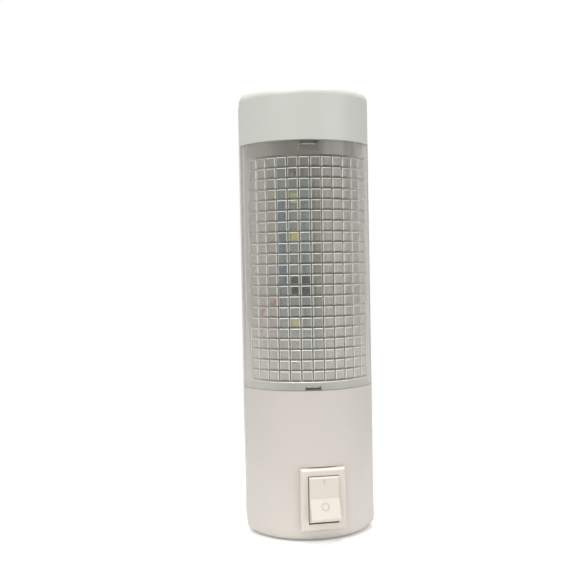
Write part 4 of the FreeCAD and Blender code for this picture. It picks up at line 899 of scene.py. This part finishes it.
SMALL_SCREW = {"head_radius": 1.8, "head_height": 1.2, "shank_radius": 0.9, "length": 5.0, "to_rear": False}
set_screws("housing_screws", head_radius=2.6, head_height=1.7, shank_radius=1.3, length=9.5, to_rear=True, seed=3)
set_screws("retainer_screws", **SMALL_SCREW, seed=5)
set_screws("board_screws", **SMALL_SCREW, seed=8)

# %% [markdown]
# ## The board and its parts
# The board is glass fibre under a pale solder mask. The mask lies over copper tracks, which show as faintly
# raised and darker bands a millimetre or so wide.

# %% Board finish
def solder_mask(name, colour, track):
    """Pale mask over a glass weave, raised and darker where it lies over a track."""
    material, tree, here = new_material(name)
    place = here["Object"]
    upright = add(tree, "ShaderNodeMapping", inputs={"Vector": place, "Rotation": (math.pi / 2, 0, 0)})
    routes = add(tree, "ShaderNodeTexBrick", {"offset": 0.37, "squash": 1.0},
                 {"Vector": upright.outputs[0], "Scale": 1.0, "Mortar Size": 0.45 * MM, "Brick Width": 6.2 * MM,
                  "Row Height": 9.0 * MM, "Mortar Smooth": 0.2})
    weave = add(tree, "ShaderNodeTexNoise", inputs={"Vector": place, "Scale": 1 / (0.5 * MM), "Detail": 2.0})
    tint = add(tree, "ShaderNodeMix", {"data_type": "RGBA"},
               {"Factor": routes.outputs["Fac"], 6: linear(colour), 7: linear(track)})
    height = add(tree, "ShaderNodeMath", {"operation": "MULTIPLY_ADD"},
                 {0: weave.outputs["Fac"], 1: 0.15, 2: routes.outputs["Fac"]})
    relief = add(tree, "ShaderNodeBump", inputs={"Height": height.outputs[0], "Distance": 0.05 * MM, "Strength": 0.6})
    body = add(tree, "ShaderNodeBsdfPrincipled",
               inputs={"Base Color": tint.outputs[2], "Roughness": 0.38, "IOR": 1.5,
                       "Normal": relief.outputs["Normal"]})
    add(tree, "ShaderNodeOutputMaterial", inputs={"Surface": body.outputs["BSDF"]})
    return material


paint(solder_mask("solder_mask_pale_grey", "#9ca3a5", "#7f888b"), "led_board")

# %% [markdown]
# The parts on the board are small: moulded chip bodies with a yellow silicone fill, a black epoxy rectifier,
# lacquered resistors, and leads in extruded PVC. They are plastics to the eye, so they share that finish.

# %% Finishes of the small parts
paint(moulded_plastic("led_package_white", "#e4e0a8", "#dcd79c", 0.4, edge_mm=0.08), "led_packages")
paint(moulded_plastic("silicone_phosphor_yellow", "#e2dd6a", "#d8d25a", 0.3, grain_mm=0.12, edge_mm=0.05),
      "led_phosphors")
paint(moulded_plastic("epoxy_rectifier_black", "#18181a", "#101012", 0.42, grain_mm=0.15, scatter_mm=0.0),
      "bridge_rectifier")
paint(moulded_plastic("ceramic_chip_grey", "#9c9c92", "#8b8b82", 0.5, grain_mm=0.15, edge_mm=0.08), "chip_resistor")
paint(moulded_plastic("lacquer_resistor_blue", "#63829b", "#587690", 0.25, edge_mm=0.1), "dropper_resistors")
paint(moulded_plastic("pvc_lead_red", "#bb2a27", "#ab2220", 0.35, grain_mm=0.5, edge_mm=0.05),
      "red_wire", "live_wire")
paint(moulded_plastic("pvc_lead_white", "#dcdcd8", "#d0d0ca", 0.35, grain_mm=0.5, edge_mm=0.05), "neutral_wire")

# %% [markdown]
# ## Studio
# The light stands on a plain white floor that fades into a white world. The floor is a small square, opaque
# under the light, where it takes the shadow, and clear further out, so no horizon shows.

# %% Floor
FLOOR_Z = MODEL_BOX[0].z
FLOOR_HALF = 0.3
FADE_MM = (50, 240)


def white_floor(name, colour, glow):
    """Matt white paint that fades into the background with distance, and a little glow that only the camera sees."""
    material, tree, here = new_material(name)
    reach = add(tree, "ShaderNodeVectorMath", {"operation": "LENGTH"}, {0: here["Object"]}).outputs["Value"]
    faded = ramp(tree, reach, *FADE_MM)
    seen = add(tree, "ShaderNodeLightPath").outputs["Is Camera Ray"]
    body = add(tree, "ShaderNodeBsdfPrincipled",
               inputs={"Base Color": linear(colour), "Roughness": 0.9, "Emission Color": linear("#ffffff"),
                       "Emission Strength": number(tree, "MULTIPLY", seen, glow)})
    clear = add(tree, "ShaderNodeBsdfTransparent")
    fade = add(tree, "ShaderNodeMixShader", inputs={0: faded, 1: body.outputs["BSDF"], 2: clear.outputs["BSDF"]})
    add(tree, "ShaderNodeOutputMaterial", inputs={"Surface": fade.outputs[0]})
    return material


corners = [(-1, -1), (1, -1), (1, 1), (-1, 1)]
floor_mesh = bpy.data.meshes.new("floor")
floor_mesh.from_pydata([(x * FLOOR_HALF, y * FLOOR_HALF, FLOOR_Z) for x, y in corners], [], [(0, 1, 2, 3)])
floor_mesh.materials.append(white_floor("floor_matt_white", "#f6f6f4", 0.3))
floor = in_scene("floor", floor_mesh)
print("floor at", round(FLOOR_Z / MM, 1), "mm")

# %% [markdown]
# There are three soft lamps: a large one at the front left, a weaker one at the right and one overhead, whose
# reflection draws a bright line on every stud.

# %% Lamps
def lamp(name, place, width, depth, power, aim=(0.0, -0.02, 0.04)):
    """Oblong soft lamp that looks at a point."""
    data = bpy.data.lights.new(name, "AREA")
    data.shape = "RECTANGLE"
    data.size = width
    data.size_y = depth
    data.energy = power
    made = in_scene(name, data)
    made.location = place
    made.rotation_euler = (Vector(aim) - Vector(place)).to_track_quat("-Z", "Y").to_euler()


lamp("key", (-0.42, -0.6, 0.7), 0.6, 0.6, 3.3)
lamp("fill", (0.7, -0.6, 0.2), 0.6, 0.6, 1.3)
lamp("overhead", (0.0, -0.09, 0.62), 0.44, 0.2, 2.9, aim=(0.0, -0.03, 0.06))
print(len(bpy.data.lights), "lamps")

# %% [markdown]
# The world is white to the camera, weaker for what the plastics reflect and bend, and weaker still as light on
# the object, so that the pale pieces keep their shades.

# %% World
WORLD_LIGHT = 0.45
REFLECTED_SHARE = 0.5
world = bpy.data.worlds.new("studio")
bpy.context.scene.world = world
world.use_nodes = True
sky = world.node_tree
sky.nodes.clear()
rays = add(sky, "ShaderNodeLightPath")
through = number(sky, "MAXIMUM", rays.outputs["Is Glossy Ray"], rays.outputs["Is Transmission Ray"])
shown = number(sky, "MAXIMUM", rays.outputs["Is Camera Ray"], number(sky, "MULTIPLY", through, REFLECTED_SHARE))
strength = add(sky, "ShaderNodeMapRange", inputs={"Value": shown, "To Min": WORLD_LIGHT, "To Max": 1.0})
backdrop = add(sky, "ShaderNodeBackground",
               inputs={"Color": linear("#ffffff"), "Strength": strength.outputs["Result"]})
add(sky, "ShaderNodeOutputWorld", inputs={"Surface": backdrop.outputs["Background"]})
print("world strength", WORLD_LIGHT, "on the object and 1.0 to the camera")

# %% [markdown]
# ## Close
# The scene's view layer is brought up to date once more.

# %% Bring the scene up to date
bpy.context.view_layer.update()
